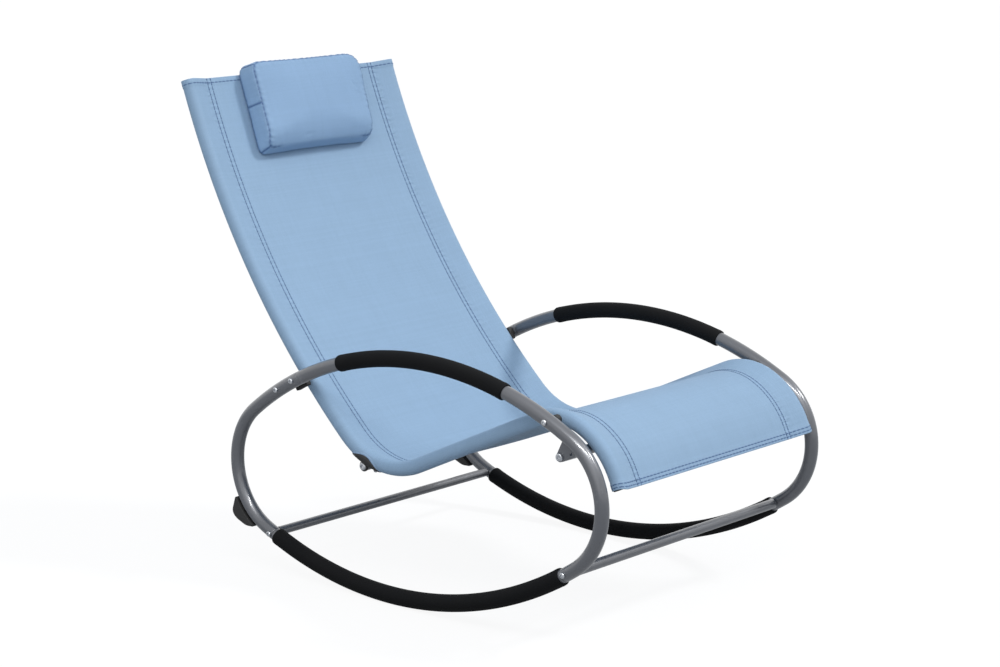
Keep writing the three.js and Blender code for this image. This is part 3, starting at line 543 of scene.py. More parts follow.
@dataclass(frozen=True)
class Effect:
    """A shader node group with named inputs and outputs, built once and shared by the finishes."""

    name: str
    inputs: tuple[tuple[str, str, float], ...]
    outputs: tuple[str, ...]

    def fill(self, tree: Tree, given: dict[str, Socket]) -> dict[str, Socket]:
        """Lays the group's nodes and gives its output sockets by name."""
        raise NotImplementedError

    def place(self, tree: Tree, values: dict[str, Socket | float]) -> dict[str, Socket]:
        """Places the group in a material.

        Args:
            tree: The material's tree.
            values: What goes into the group's inputs.

        Returns:
            The group's outputs by name.
        """
        group = bpy.data.node_groups.get(self.name)
        if group is None:
            group = bpy.data.node_groups.new(self.name, "ShaderNodeTree")
            for label, kind, start in self.inputs:
                socket = group.interface.new_socket(label, in_out="INPUT", socket_type=f"NodeSocket{kind}")
                if kind == "Float":
                    socket.default_value = start
            for label in self.outputs:
                group.interface.new_socket(label, in_out="OUTPUT", socket_type="NodeSocketFloat")
            entry = group.nodes.new("NodeGroupInput")
            made = self.fill(group, {label: entry.outputs[label] for label, _, _ in self.inputs})
            put(group, "NodeGroupOutput", made)
        node = put(tree, "ShaderNodeGroup", values, node_tree=group)
        return {label: node.outputs[label] for label in self.outputs}


class Grain(Effect):
    """Fine bumps over a slower unevenness: two noises, one fine and one eighteen times coarser."""

    def fill(self, tree: Tree, given: dict[str, Socket]) -> dict[str, Socket]:
        """Lays the two noises."""
        fine = noise(tree, given["Coordinate"], given["Scale"], 3.0)
        broad = noise(tree, given["Coordinate"], calc(tree, "DIVIDE", given["Scale"], 18.0), 4.0)
        mixed = calc(tree, "ADD", fine, calc(tree, "MULTIPLY", broad, 0.6))
        return {"Height": mixed, "Patches": span(tree, broad, (0.3, 0.7), (0.0, 1.0))}


class Scuffs(Effect):
    """Sparse worn spots: the peaks of a rough noise, broken up by a finer one."""

    def fill(self, tree: Tree, given: dict[str, Socket]) -> dict[str, Socket]:
        """Lays the noises and keeps their peaks."""
        wide = noise(tree, given["Coordinate"], given["Scale"], 6.0, Roughness=0.72)
        small = noise(tree, given["Coordinate"], calc(tree, "MULTIPLY", given["Scale"], 9.0), 2.0)
        peaks = span(tree, wide, (0.6, 0.72), (0.0, 1.0))
        grit = span(tree, small, (0.45, 0.62), (0.0, 1.0))
        return {"Mask": calc(tree, "MULTIPLY", calc(tree, "MULTIPLY", peaks, grit), given["Amount"])}


class Weave(Effect):
    """Plain weave of coated yarn on a flat-cloth coordinate.

    Each yarn's height is the size of a sine across it; where the two yarns' numbers add up to
    an even number the lengthwise one lies on top, otherwise the crosswise one.
    """

    def fill(self, tree: Tree, given: dict[str, Socket]) -> dict[str, Socket]:
        """Lays the two sets of yarns, the crossings and a tone for each yarn."""
        split = put(tree, "ShaderNodeSeparateXYZ", {0: given["Coordinate"]})
        across, along = (calc(tree, "DIVIDE", split.outputs[axis], given["Pitch"]) for axis in (0, 1))
        waves = (calc(tree, "SINE", calc(tree, "MULTIPLY", yarns, math.pi)) for yarns in (across, along))
        warp, weft = (calc(tree, "ABSOLUTE", wave) for wave in waves)
        columns, rows = calc(tree, "FLOOR", across), calc(tree, "FLOOR", along)
        odd = calc(tree, "FLOORED_MODULO", calc(tree, "ADD", columns, rows), 2.0)
        even = calc(tree, "SUBTRACT", 1.0, odd)
        warp_top = calc(tree, "MULTIPLY", warp, calc(tree, "MULTIPLY_ADD", even, 0.45, 0.55))
        weft_top = calc(tree, "MULTIPLY", weft, calc(tree, "MULTIPLY_ADD", odd, 0.45, 0.55))
        height = calc(tree, "MAXIMUM", warp_top, weft_top)
        numbers, noisy = (columns, rows), "ShaderNodeTexWhiteNoise"
        tones = [put(tree, noisy, {"W": number}, noise_dimensions="1D").outputs[0] for number in numbers]
        tone = calc(tree, "MULTIPLY", calc(tree, "ADD", *tones), 0.5)
        return {"Height": height, "Gap": span(tree, height, (0.2, 0.5), (1.0, 0.0)), "Tone": tone}


class Pucker(Effect):
    """Short gathers beside a lengthwise seam: a wave along it that fades with the distance from it."""

    def fill(self, tree: Tree, given: dict[str, Socket]) -> dict[str, Socket]:
        """Lays the wave and its fading."""
        split = put(tree, "ShaderNodeSeparateXYZ", {0: given["Coordinate"]})
        wander = noise(tree, given["Coordinate"], 60.0, 1.0)
        turns = calc(tree, "MULTIPLY_ADD", split.outputs[1], 520.0, calc(tree, "MULTIPLY", wander, 9.0))
        away = calc(tree, "SUBTRACT", calc(tree, "ABSOLUTE", split.outputs[0]), given["Seam"])
        fade = fading(tree, calc(tree, "DIVIDE", away, given["Reach"]))
        return {"Height": calc(tree, "MULTIPLY", calc(tree, "SINE", turns), fade)}


class Sewn(Effect):
    """The groove that a row of stitches pulls into cloth, deeper at each stitch than between them."""

    beat: ClassVar[float] = 0.0092

    def fill(self, tree: Tree, given: dict[str, Socket]) -> dict[str, Socket]:
        """Lays the groove, a bell across the row, and its beat along the row."""
        groove = fading(tree, calc(tree, "DIVIDE", given["Away"], given["Width"]))
        beat = calc(tree, "SINE", calc(tree, "MULTIPLY", given["Along"], 2 * math.pi / self.beat))
        return {"Groove": calc(tree, "MULTIPLY", groove, calc(tree, "MULTIPLY_ADD", beat, 0.38, 0.62))}


PLACE = ("Coordinate", "Vector", 0.0)
GRAIN = Grain("surface_grain", (PLACE, ("Scale", "Float", 400.0)), ("Height", "Patches"))
SCUFFS = Scuffs("scuff_marks", (PLACE, ("Scale", "Float", 9.0), ("Amount", "Float", 1.0)), ("Mask",))
WEAVE = Weave("plain_weave", (PLACE, ("Pitch", "Float", 0.0011)), ("Height", "Gap", "Tone"))
SEWN = Sewn(
    "sewn_row", (("Away", "Float", 0.0), ("Along", "Float", 0.0), ("Width", "Float", 0.001)), ("Groove",)
)
PUCKER = Pucker("seam_pucker", (PLACE, ("Seam", "Float", 0.21), ("Reach", "Float", 0.008)), ("Height",))


@dataclass(frozen=True)
class Finish:
    """A material with one Principled shader, and the slot of the record that it belongs to."""

    slot: ClassVar[Slot]
    levels: ClassVar[dict[str, float]] = {}
    name: str
    colour: Colour
    roughness: float

    def material(self) -> bpy.types.Material:
        """The material, made on first use."""
        found = bpy.data.materials.get(self.name)
        if found is not None:
            return found
        made = bpy.data.materials.new(self.name)
        made.use_nodes = True
        tree = made.node_tree
        shader = tree.nodes["Principled BSDF"]
        wire(tree, shader, {"Roughness": self.roughness, **self.levels})
        made.diffuse_color = (*self.colour, 1.0)
        where = put(tree, "ShaderNodeTexCoord")
        self.paint(tree, shader, where)
        return made

    def paint(self, tree: Tree, shader: bpy.types.Node, where: bpy.types.Node) -> None:
        """Lays the finish's own nodes."""
        raise NotImplementedError

    def dimmed(self, share: float) -> Colour:
        """The finish's colour, darkened to a share of its light."""
        return tuple(value * share for value in self.colour)


def bump(tree: Tree, shader: bpy.types.Node, height: Socket, distance: float, strength: float = 1.0) -> None:
    """Feeds a height into the shader's normal, with the size of one unit of height in metres."""
    node = put(tree, "ShaderNodeBump", {"Height": height, "Distance": distance, "Strength": strength})
    tree.links.new(node.outputs[0], shader.inputs["Normal"])


@dataclass(frozen=True)
class PowderCoat(Finish):
    """Satin paint baked on steel tube, with a fine orange peel, dull patches and a few scuffs."""

    slot = Slot.PAINT
    levels = {"Metallic": 0.35, "Coat Weight": 0.85, "Coat Roughness": 0.14}
    scuffed: Colour = linear(150, 152, 156)

    def paint(self, tree: Tree, shader: bpy.types.Node, where: bpy.types.Node) -> None:
        """Varies the paint's tone and gloss and marks it with scuffs."""
        spot = where.outputs["Object"]
        peel = GRAIN.place(tree, {"Coordinate": spot, "Scale": 700.0})
        patches = GRAIN.place(tree, {"Coordinate": spot, "Scale": 160.0})
        worn = SCUFFS.place(tree, {"Coordinate": spot, "Scale": 14.0, "Amount": 0.5})
        tone = blend_colours(tree, patches["Patches"], self.dimmed(0.86), self.colour)
        colour = blend_colours(tree, worn["Mask"], tone, self.scuffed)
        dull = calc(tree, "MULTIPLY_ADD", patches["Patches"], 0.1, self.roughness - 0.05)
        gloss = calc(tree, "MULTIPLY_ADD", worn["Mask"], 0.25, dull)
        wire(tree, shader, {"Base Color": colour, "Roughness": gloss})
        bump(tree, shader, peel["Height"], 0.00002)


@dataclass(frozen=True)
class Foam(Finish):
    """Closed-cell foam with a matte, finely pored skin, dusty where it rolls on the floor."""

    slot = Slot.FOAM
    levels = {"Specular IOR Level": 0.12}
    dust: Colour = linear(86, 84, 82)

    def paint(self, tree: Tree, shader: bpy.types.Node, where: bpy.types.Node) -> None:
        """Pits the skin, mottles its black and dusts its underside."""
        spot = where.outputs["Object"]
        skin = GRAIN.place(tree, {"Coordinate": spot, "Scale": 950.0})
        mottle = GRAIN.place(tree, {"Coordinate": spot, "Scale": 300.0})
        worn = SCUFFS.place(tree, {"Coordinate": spot, "Scale": 26.0, "Amount": 0.6})
        height = put(tree, "ShaderNodeSeparateXYZ", {0: spot}).outputs[2]
        low = calc(tree, "MULTIPLY", span(tree, height, (0.0, 0.012), (1.0, 0.0)), worn["Mask"])
        tone = blend_colours(tree, mottle["Patches"], self.dimmed(0.7), self.colour)
        colour = blend_colours(tree, low, tone, self.dust)
        gloss = calc(tree, "MULTIPLY_ADD", mottle["Patches"], 0.12, self.roughness)
        wire(tree, shader, {"Base Color": colour, "Roughness": gloss})
        bump(tree, shader, skin["Height"], 0.00012)


@dataclass(frozen=True)
class Moulded(Finish):
    """Black moulded plastic with a fine spark grain and paler rubbed spots."""

    slot = Slot.PLASTIC
    levels = {"Specular IOR Level": 0.08}
    rubbed: Colour = linear(36, 36, 38)

    def paint(self, tree: Tree, shader: bpy.types.Node, where: bpy.types.Node) -> None:
        """Grains the surface and lightens its rubbed spots."""
        spot = where.outputs["Object"]
        spark = GRAIN.place(tree, {"Coordinate": spot, "Scale": 1400.0})
        worn = SCUFFS.place(tree, {"Coordinate": spot, "Scale": 40.0, "Amount": 0.45})
        tone = blend_colours(tree, spark["Patches"], self.dimmed(0.75), self.colour)
        colour = blend_colours(tree, worn["Mask"], tone, self.rubbed)
        gloss = calc(tree, "MULTIPLY_ADD", worn["Mask"], 0.2, self.roughness)
        wire(tree, shader, {"Base Color": colour, "Roughness": gloss})
        bump(tree, shader, spark["Height"], 0.00005)


@dataclass(frozen=True)
class Plating(Finish):
    """Bright zinc plating with a faint cloudiness."""

    slot = Slot.ZINC
    levels = {"Metallic": 1.0}
    cloudy: Colour = linear(168, 172, 178)

    def paint(self, tree: Tree, shader: bpy.types.Node, where: bpy.types.Node) -> None:
        """Clouds the metal's tone and gloss."""
        cloud = GRAIN.place(tree, {"Coordinate": where.outputs["Object"], "Scale": 2600.0})
        colour = blend_colours(tree, cloud["Patches"], self.cloudy, self.colour)
        gloss = calc(tree, "MULTIPLY_ADD", cloud["Patches"], 0.14, self.roughness)
        wire(tree, shader, {"Base Color": colour, "Roughness": gloss})
        bump(tree, shader, cloud["Height"], 0.00002)


@dataclass(frozen=True)
class WovenMesh(Finish):
    """Coated yarn cloth: a plain weave with a tone for each yarn, darker gaps and slow mottling.

    Rows of stitches darken it, partly with the thread and its needle holes and partly with painted
    shade of the sunken seam: lengthwise ones at both of their distances from the middle line,
    crosswise ones at their places along the cloth, and others where its points carry a crease.
    """

    slot = Slot.MESH
    levels = {"Sheen Weight": 0.06, "Sheen Roughness": 0.45, "Specular IOR Level": 0.22}
    pitch: float = 0.0012
    seam: float = 0.0
    lengthwise: tuple[float, ...] = ()
    crosswise: tuple[float, ...] = ()
    creased: bool = False
    # The seam colour: the thread's own darker blue, deepened as painted shade of the sunken seam.
    sewn: Colour = linear(52, 84, 136)
    depth: float = 0.00016
    pucker: float = 0.0006

    def paint(self, tree: Tree, shader: bpy.types.Node, where: bpy.types.Node) -> None:
        """Weaves the cloth and gathers it beside its seam, if it has one."""
        cloth = where.outputs["UV"]
        yarn = WEAVE.place(tree, {"Coordinate": cloth, "Pitch": self.pitch})
        mottle = GRAIN.place(tree, {"Coordinate": where.outputs["Object"], "Scale": 420.0})
        pale = tuple(min(1.0, value * 1.07 + 0.004) for value in self.colour)
        share = calc(tree, "MULTIPLY_ADD", yarn["Tone"], 0.5, 0.15)
        share = calc(tree, "MULTIPLY_ADD", mottle["Patches"], 0.2, share)
        tone = blend_colours(tree, share, self.dimmed(0.91), pale)
        woven = blend_colours(tree, calc(tree, "MULTIPLY", yarn["Gap"], 0.7), tone, self.dimmed(0.62))
        groove = self.groove(tree, cloth)
        # Painted shade: stitch rows and creases blend towards the seam colour, partly for the thread and its
        # needle holes, partly for the shade of the sunken seam.
        colour = blend_colours(tree, calc(tree, "MULTIPLY", groove, 0.85), woven, self.sewn)
        gloss = calc(tree, "MULTIPLY_ADD", yarn["Height"], -0.12, self.roughness)
        wire(tree, shader, {"Base Color": colour, "Roughness": gloss})
        height = calc(tree, "MULTIPLY", yarn["Height"], self.depth)
        if self.seam:
            gather = PUCKER.place(tree, {"Coordinate": cloth, "Seam": self.seam, "Reach": 0.009})
            height = calc(tree, "MULTIPLY_ADD", gather["Height"], self.pucker, height)
        height = calc(tree, "MULTIPLY_ADD", groove, -0.0003, height)
        bump(tree, shader, height, 1.0, 0.8)

    def groove(self, tree: Tree, cloth: Socket) -> Socket:
        """How deep each spot lies in a row of stitches, from 0 to 1."""
        split = put(tree, "ShaderNodeSeparateXYZ", {0: cloth})
        across, along = split.outputs[0], split.outputs[1]
        far = calc(tree, "ABSOLUTE", across)
        if self.creased:
            deepest = put(tree, "ShaderNodeAttribute", attribute_name="crease").outputs["Fac"]
        else:
            deepest = calc(tree, "MULTIPLY", far, 0.0)
        rows = [(far, line, along) for line in self.lengthwise]
        rows += [(along, line, across) for line in self.crosswise]
        for value, line, run in rows:
            away = calc(tree, "SUBTRACT", value, line)
            row = SEWN.place(tree, {"Away": away, "Along": run, "Width": 0.0012})
            deepest = calc(tree, "MAXIMUM", deepest, row["Groove"])
        return deepest


@dataclass(frozen=True)
class Thread(Finish):
    """Twisted sewing thread."""

    slot = Slot.MESH

    def paint(self, tree: Tree, shader: bpy.types.Node, where: bpy.types.Node) -> None:
        """Streaks the thread with its twist."""
        twist = GRAIN.place(tree, {"Coordinate": where.outputs["Object"], "Scale": 2400.0})
        colour = blend_colours(tree, twist["Patches"], self.dimmed(0.7), self.colour)
        wire(tree, shader, {"Base Color": colour})
        bump(tree, shader, twist["Height"], 0.00005)


PAINT = PowderCoat("grey_powder_coat", linear(100, 102, 107), 0.36)
FOAM = Foam("black_foam", linear(16, 17, 19), 0.72)
PLASTIC = Moulded("black_plastic", linear(9, 9, 11), 0.5)
ZINC = Plating("bright_zinc", linear(214, 217, 221), 0.2)
SLING_MESH = WovenMesh("blue_sling_mesh", linear(150, 178, 204), 0.74, seam=0.2125, lengthwise=(0.203, 0.212))
PILLOW_MESH = WovenMesh("blue_pillow_mesh", linear(145, 175, 206), 0.74, creased=True)
BINDING = WovenMesh("blue_binding", linear(156, 182, 210), 0.7, pitch=0.0008)
THREAD = Thread("blue_thread", linear(66, 98, 146), 0.6)


# The chair's two paths


@dataclass(frozen=True)
class Paths:
    """Sizes of the hoops and rails, as in the CAD model, and the two paths that follow from them."""

    rocker_radius: float = 0.745
    arm_radius: float = 0.675
    bow_radius: float = 0.125
    bow_spacing: float = 0.6
    lean: float = math.radians(5.1)
    rocker_sleeve: float = 0.693
    arm_sleeve: float = 0.384
    arm_sleeve_forward: float = 0.05
    seam_beyond_sleeve: float = 0.0055
    screw_beyond_sleeve: float = 0.011
    arm_seam_ahead: float = 0.013
    splice_spacing: float = 0.0446
    back_radius: float = 1.507
    back_length: float = 0.718
    corner_radius: float = 0.1555
    corner_turn: float = math.radians(67.6)
    seat_length: float = 0.2973
    knee_radius: float = 0.109
    knee_turn: float = math.radians(49.9)
    shin_radius: float = 0.145
    shin_turn: float = math.radians(40.0)
    shin_length: float = 0.024
    seat_rise: float = math.radians(24.84)
    mount_behind_bow: float = 0.0489
    mount_past_knee: float = 0.0534
    rail_x: float = 0.254
    hoop_x: float = 0.29

    @property
    def halves(self) -> tuple[float, float]:
        """Half the turns of the rocker arc and the arm arc."""
        half = self.bow_spacing / 2
        return (
            math.asin(half / (self.rocker_radius - self.bow_radius)),
            math.asin(half / (self.arm_radius - self.bow_radius)),
        )

    def hoop(self) -> Route:
        """The hoop's path: rocker arc rearwards, rear bow, arm arc forwards, front bow."""
        rocker, arm = self.halves
        bow = math.pi - rocker - arm
        runs = [
            (self.rocker_radius * 2 * rocker, 2 * rocker),
            (self.bow_radius * bow, bow),
            (self.arm_radius * 2 * arm, 2 * arm),
            (self.bow_radius * bow, bow),
        ]
        route = Route(-rocker - self.lean, runs, closed=True)
        _, _, bar = cad_box("rear_cross_bar")
        y, z, _ = route.at(self.rear_bar_screw(route))
        return route.shift(bar[1] - float(y), bar[2] - float(z))

    def rocker_middle(self, hoop: Route) -> float:
        """Place halfway along the rocker arc."""
        return float(hoop.lengths[0]) / 2

    def seam_half(self) -> float:
        """Half the distance between the bows' lower ends."""
        return self.rocker_sleeve / 2 + self.seam_beyond_sleeve

    def rear_bar_screw(self, hoop: Route) -> float:
        """Place of the rear cross bar."""
        return self.rocker_middle(hoop) + self.rocker_sleeve / 2 + self.screw_beyond_sleeve

    def rail(self, hoop: Route) -> Route:
        """The rail's path, hung from its front screw on the hoop."""
        start = math.pi - self.seat_rise + self.corner_turn + self.back_length / self.back_radius
        runs = [
            (self.back_length, -self.back_length / self.back_radius),
            (self.corner_radius * self.corner_turn, -self.corner_turn),
            (self.seat_length, 0.0),
            (self.knee_radius * self.knee_turn, self.knee_turn),
            (self.shin_radius * self.shin_turn, self.shin_turn),
            (self.shin_length, 0.0),
        ]
        route = Route(start, runs)
        y, z, _ = hoop.at(self.front_screw(hoop))
        hung_y, hung_z, _ = route.at(route.starts[3] + self.mount_past_knee)
        return route.shift(float(y - hung_y), float(z - hung_z))

    def front_screw(self, hoop: Route) -> float:
        """Place on the hoop of the front rail screw."""
        return float(hoop.starts[3]) - self.mount_behind_bow

    def rear_screw(self, hoop: Route) -> float:
        """Place on the hoop's arm arc that is nearest to the CAD's rear rail screw."""
        _, _, middle = cad_box("rear_rail_screw_left")
        places = np.linspace(hoop.starts[2], hoop.starts[3], 4001)
        y, z, _ = hoop.at(places)
        return float(places[np.argmin(np.hypot(y - middle[1], z - middle[2]))])


# Hoops


@dataclass
class Hoop:
    """One oval hoop: two bows and a rocker tube, two foam sleeves, the mounts and the screws on it."""

    paths: Paths
    route: Route
    hand: str
    radius: float = 0.012
    wall: float = 0.0015
    slip: float = 0.0003
    rocker_sleeve_radius: float = 0.015
    arm_sleeve_radius: float = 0.0145
    swage: float = 0.021
    neck: float = 0.003
    swage_behind_screw: float = 0.015
    roll: float = 0.0024
    stop_ends: tuple[float, float] = (0.0449, 0.1034)
    stop_half: float = 0.012
    stop_screw: float = 0.0684
    recess_radius: float = 0.0045
    recess_depth: float = 0.006
    block_reach: tuple[float, float] = (0.022, 0.01)
    block_depths: tuple[float, float] = (0.0155, -0.008)
    washer_radius: float = 0.008
    bracket_ahead: float = 0.038
    lobe_radius: float = 0.0085
    lobe_depth: float = 0.0485
    weld_radius: float = 0.0015
    weld_ripple: float = 0.0022

    def __post_init__(self) -> None:
        """Works out the places along the hoop that the pieces share."""
        paths, route = self.paths, self.route
        self.side = SIDES[self.hand]
        self.x = self.side * paths.hoop_x
        middle = paths.rocker_middle(route)
        self.middle = middle
        self.rear_seam = middle + paths.seam_half()
        self.front_seam = route.total + middle - paths.seam_half()
        self.rear_screw = paths.rear_screw(route)
        self.front_screw = paths.front_screw(route)
        self.arm_seam = self.rear_screw + paths.arm_seam_ahead
        self.swage_end = self.rear_screw - paths.splice_spacing - self.swage_behind_screw
        self.arm_middle = float(route.starts[2] + route.lengths[2] / 2) + paths.arm_sleeve_forward

    def tubes(self) -> None:
        """Rear bow, front bow and rocker tube, each swaged where it enters the next."""
        r, bore = self.radius, self.radius - self.wall
        swage, inner = bore - self.slip, bore - self.slip - self.wall
        rear = [(r, self.rear_seam), (r, self.arm_seam), (bore, self.arm_seam), (bore, self.rear_seam)]
        shoulder = self.arm_seam + self.slip
        front = [(r, shoulder), (r, self.front_seam), (bore, self.front_seam), (bore, shoulder + self.neck)]
        front += [(inner, shoulder + self.neck), (inner, self.swage_end)]
        front += [(swage, self.swage_end), (swage, shoulder)]
        half = self.paths.seam_half() - self.slip
        tip, neck, m = self.paths.seam_half() + self.swage, half - self.neck, self.middle
        rocker = [(r, m - half), (r, m + half), (swage, m + half), (swage, m + tip), (inner, m + tip)]
        rocker += [(inner, m + neck), (bore, m + neck), (bore, m - neck), (inner, m - neck), (inner, m - tip)]
        rocker += [(swage, m - tip), (swage, m - half)]
        for kind, corners in (("rear_bow", rear), ("front_bow", front), ("rocker_tube", rocker)):
            shape = bent_tube(self.route, corners, self.x, 0.0007)
            node = f"{kind}_{self.hand}"
            dress(shape.piece(f"{node}_painted"), PAINT, node)

    def sleeve(self, kind: str, radius: float, middle: float, length: float) -> None:
        """A foam sleeve with softly rolled ends that swell a little before they turn in.

        Its outer radius is the full one, less up to 1.9 mm over the rolled length at each end,
        plus a swelling of 0.35 mm just inside it. Below the floor it is pressed flat.

        Args:
            kind: The CAD node's name without its hand.
            radius: Outer radius.
            middle: Place of its middle.
            length: Its length.
        """
        bore, half = self.radius + self.slip, length / 2
        along = np.linspace(-half, half, int(length / 0.006))
        ends = half - self.roll * (1 - np.cos(np.linspace(0, math.pi / 2, 7)))
        rolled = np.sort(np.concatenate([-ends, along[np.abs(along) < half - 0.003], ends]))
        inset = half - np.abs(rolled)
        turned_in = 0.0019 * (1 - np.sqrt(np.clip(1 - (1 - np.clip(inset / self.roll, 0, 1)) ** 2, 0, 1)))
        outer = radius - turned_in + 0.00035 * bell(inset - 0.007, 0.004)
        skin = np.column_stack([outer, middle + rolled])
        inside = np.column_stack([np.full(len(along), bore), middle + along[::-1]])
        shape = swept(self.route, np.vstack([skin, inside]), self.x, 48)
        shape.points[:, 2] = np.maximum(shape.points[:, 2], 0.0)
        node = f"{kind}_{self.hand}"
        dress(shape.piece(f"{node}_foam"), FOAM, node)

    def stop(self) -> None:
        """The wedge behind the rear bow, rounded at its nose and heel, with a recess for its screw."""
        seat, (toe, heel) = -(self.radius + self.slip), self.stop_ends
        inner = [(self.rear_seam + d, seat - self.slip) for d in np.linspace(toe, heel, 9)]
        outer = [(heel, 0.0032), (0.0889, 0.025), (0.0779, 0.025), (0.0569, 0.014), (toe, 0.0028)]
        corners = inner + [(self.rear_seam + d, seat - reach) for d, reach in outer]
        rounding = np.array([0.001] + [0.0] * 7 + [0.0008, 0.001, 0.008, 0.009, 0.006, 0.0008])
        rim = fillet(self.route.outline(corners), np.maximum(rounding, CRISP), 6)
        node = f"rear_stop_{self.hand}"
        piece = plate(f"{node}_moulded", [rim], (self.x - self.stop_half, self.x + self.stop_half), 0.001)
        place = self.rear_seam + self.stop_screw
        _, _, heading = self.route.at(place)
        seat_y, seat_z = self.route.offset(place, seat - self.recess_depth)
        wide, past = self.recess_radius, 0.03
        drill = np.array([[0.0, 0.0], [wide, 0.0], [wide, past], [0.0, past]])
        axis = np.array([0.0, math.sin(heading), -math.cos(heading)])
        carve(piece, turned(drill, np.array([self.x, seat_y, seat_z]), axis, 32).piece("recess_drill"))
        dress(piece, PLASTIC, node)

    def block(self) -> None:
        """The spacer block behind the arm, between hoop and sling, following the arm arc."""
        (behind, ahead), (inside, outside) = self.block_reach, self.block_depths
        places = np.linspace(self.rear_screw - behind, self.rear_screw + ahead, 9)
        corners = [(p, inside) for p in places] + [(p, outside) for p in places[::-1]]
        rounding = np.array(([0.006] + [CRISP] * 7 + [0.006]) * 2)
        node = f"rear_mount_block_{self.hand}"
        low, high, _ = cad_box(node)
        rim = fillet(self.route.outline(corners), rounding, 5)
        piece = plate(f"{node}_moulded", [rim], (low[0], high[0]), 0.0012)
        dress(piece, PLASTIC, node)

    def spacer(self) -> None:
        """The turned washer between hoop and rail at the front crossing."""
        node = f"front_mount_spacer_{self.hand}"
        low, high, middle = cad_box(node)
        half, rim = (high[0] - low[0]) / 2, self.washer_radius
        corners = np.array([(SCREW_BORE, -half), (rim, -half), (rim, half), (SCREW_BORE, half)])
        dress(turned_ring(fillet(corners, 0.001, 4), middle, X_AXIS).piece(f"{node}_moulded"), PLASTIC, node)

    def bracket(self) -> None:
        """The plate that carries the front spreader, welded under the hoop along its root."""
        place, wide, deep = self.front_screw + self.bracket_ahead, self.lobe_radius, self.lobe_depth
        lobe = np.linspace(0.0, math.pi, 15)[1:]
        corners = [(place - wide, 0.0), (place + 0.0127, 0.0), (place + 0.039, 0.0), (place + 0.029, 0.031)]
        corners += [(place + wide * math.cos(a), deep + wide * math.sin(a)) for a in lobe]
        rounding = np.array([0.001, CRISP, 0.002, 0.009] + [CRISP] * len(lobe))
        outlines = [fillet(self.route.outline(corners), rounding, 6)]
        for ahead, down, bore in ((0.019, 0.03, 0.0028), (0.0, deep, BOLT_BORE)):
            hole = [(place + ahead + bore * math.cos(a), down + bore * math.sin(a)) for a in full_turn(28)]
            outlines.append(self.route.outline(hole))
        node = f"front_bracket_{self.hand}"
        low, high, _ = cad_box(node)
        dress(plate(f"{node}_plate", outlines, (low[0], high[0]), 0.0005), PAINT, node)
        dress(self.weld(node, place, low[0] if self.side > 0 else high[0]), PAINT)

    def weld(self, node: str, place: float, face: float) -> Piece:
        """A weld bead between the bracket's root and the tube.

        It ripples along its length and tapers to nothing at both ends.

        Args:
            node: The bracket's name.
            place: Place of the spreader on the hoop.
            face: X of the bracket's inner face.

        Returns:
            The bead.
        """
        s = np.linspace(place - 0.007, place + 0.036, 120)
        share = (s - s[0]) / (s[-1] - s[0])
        ripple = 1 + 0.16 * np.abs(np.sin(math.pi * (s - s[0]) / self.weld_ripple))
        radius = self.weld_radius * ripple * np.sqrt(np.clip(4 * share * (1 - share), 0, 1)) ** 0.5
        sides = 14
        angle = full_turn(sides)
        y, z = self.route.offset(s[:, None] + np.zeros(sides), 0.0004 + radius[:, None] * np.cos(angle))
        x = face + self.side * 0.0012 + radius[:, None] * np.sin(angle) * np.ones_like(y)
        points = np.stack([x, y, z], -1).reshape(-1, 3)
        return Shape(points, grid_faces(len(s), sides, False, True)).piece(f"{node}_weld")

    def build(self) -> None:
        """Makes every piece of the hoop."""
        self.tubes()
        self.sleeve("rocker_sleeve", self.rocker_sleeve_radius, self.middle, self.paths.rocker_sleeve)
        self.sleeve("arm_sleeve", self.arm_sleeve_radius, self.arm_middle, self.paths.arm_sleeve)
        self.stop()
        self.block()
        self.spacer()
        self.bracket()


# Screws and bars


@dataclass(frozen=True)
class ScrewSize:
    """Sizes of a button-head screw with a hexagon socket."""

    shank: float
    head: float
    rise: float
    socket: float
    depth: float


SCREW = ScrewSize(0.0028, 0.005, 0.0034, 0.0018, 0.002)
BOLT = ScrewSize(0.0038, 0.007, 0.004, 0.0025, 0.0024)


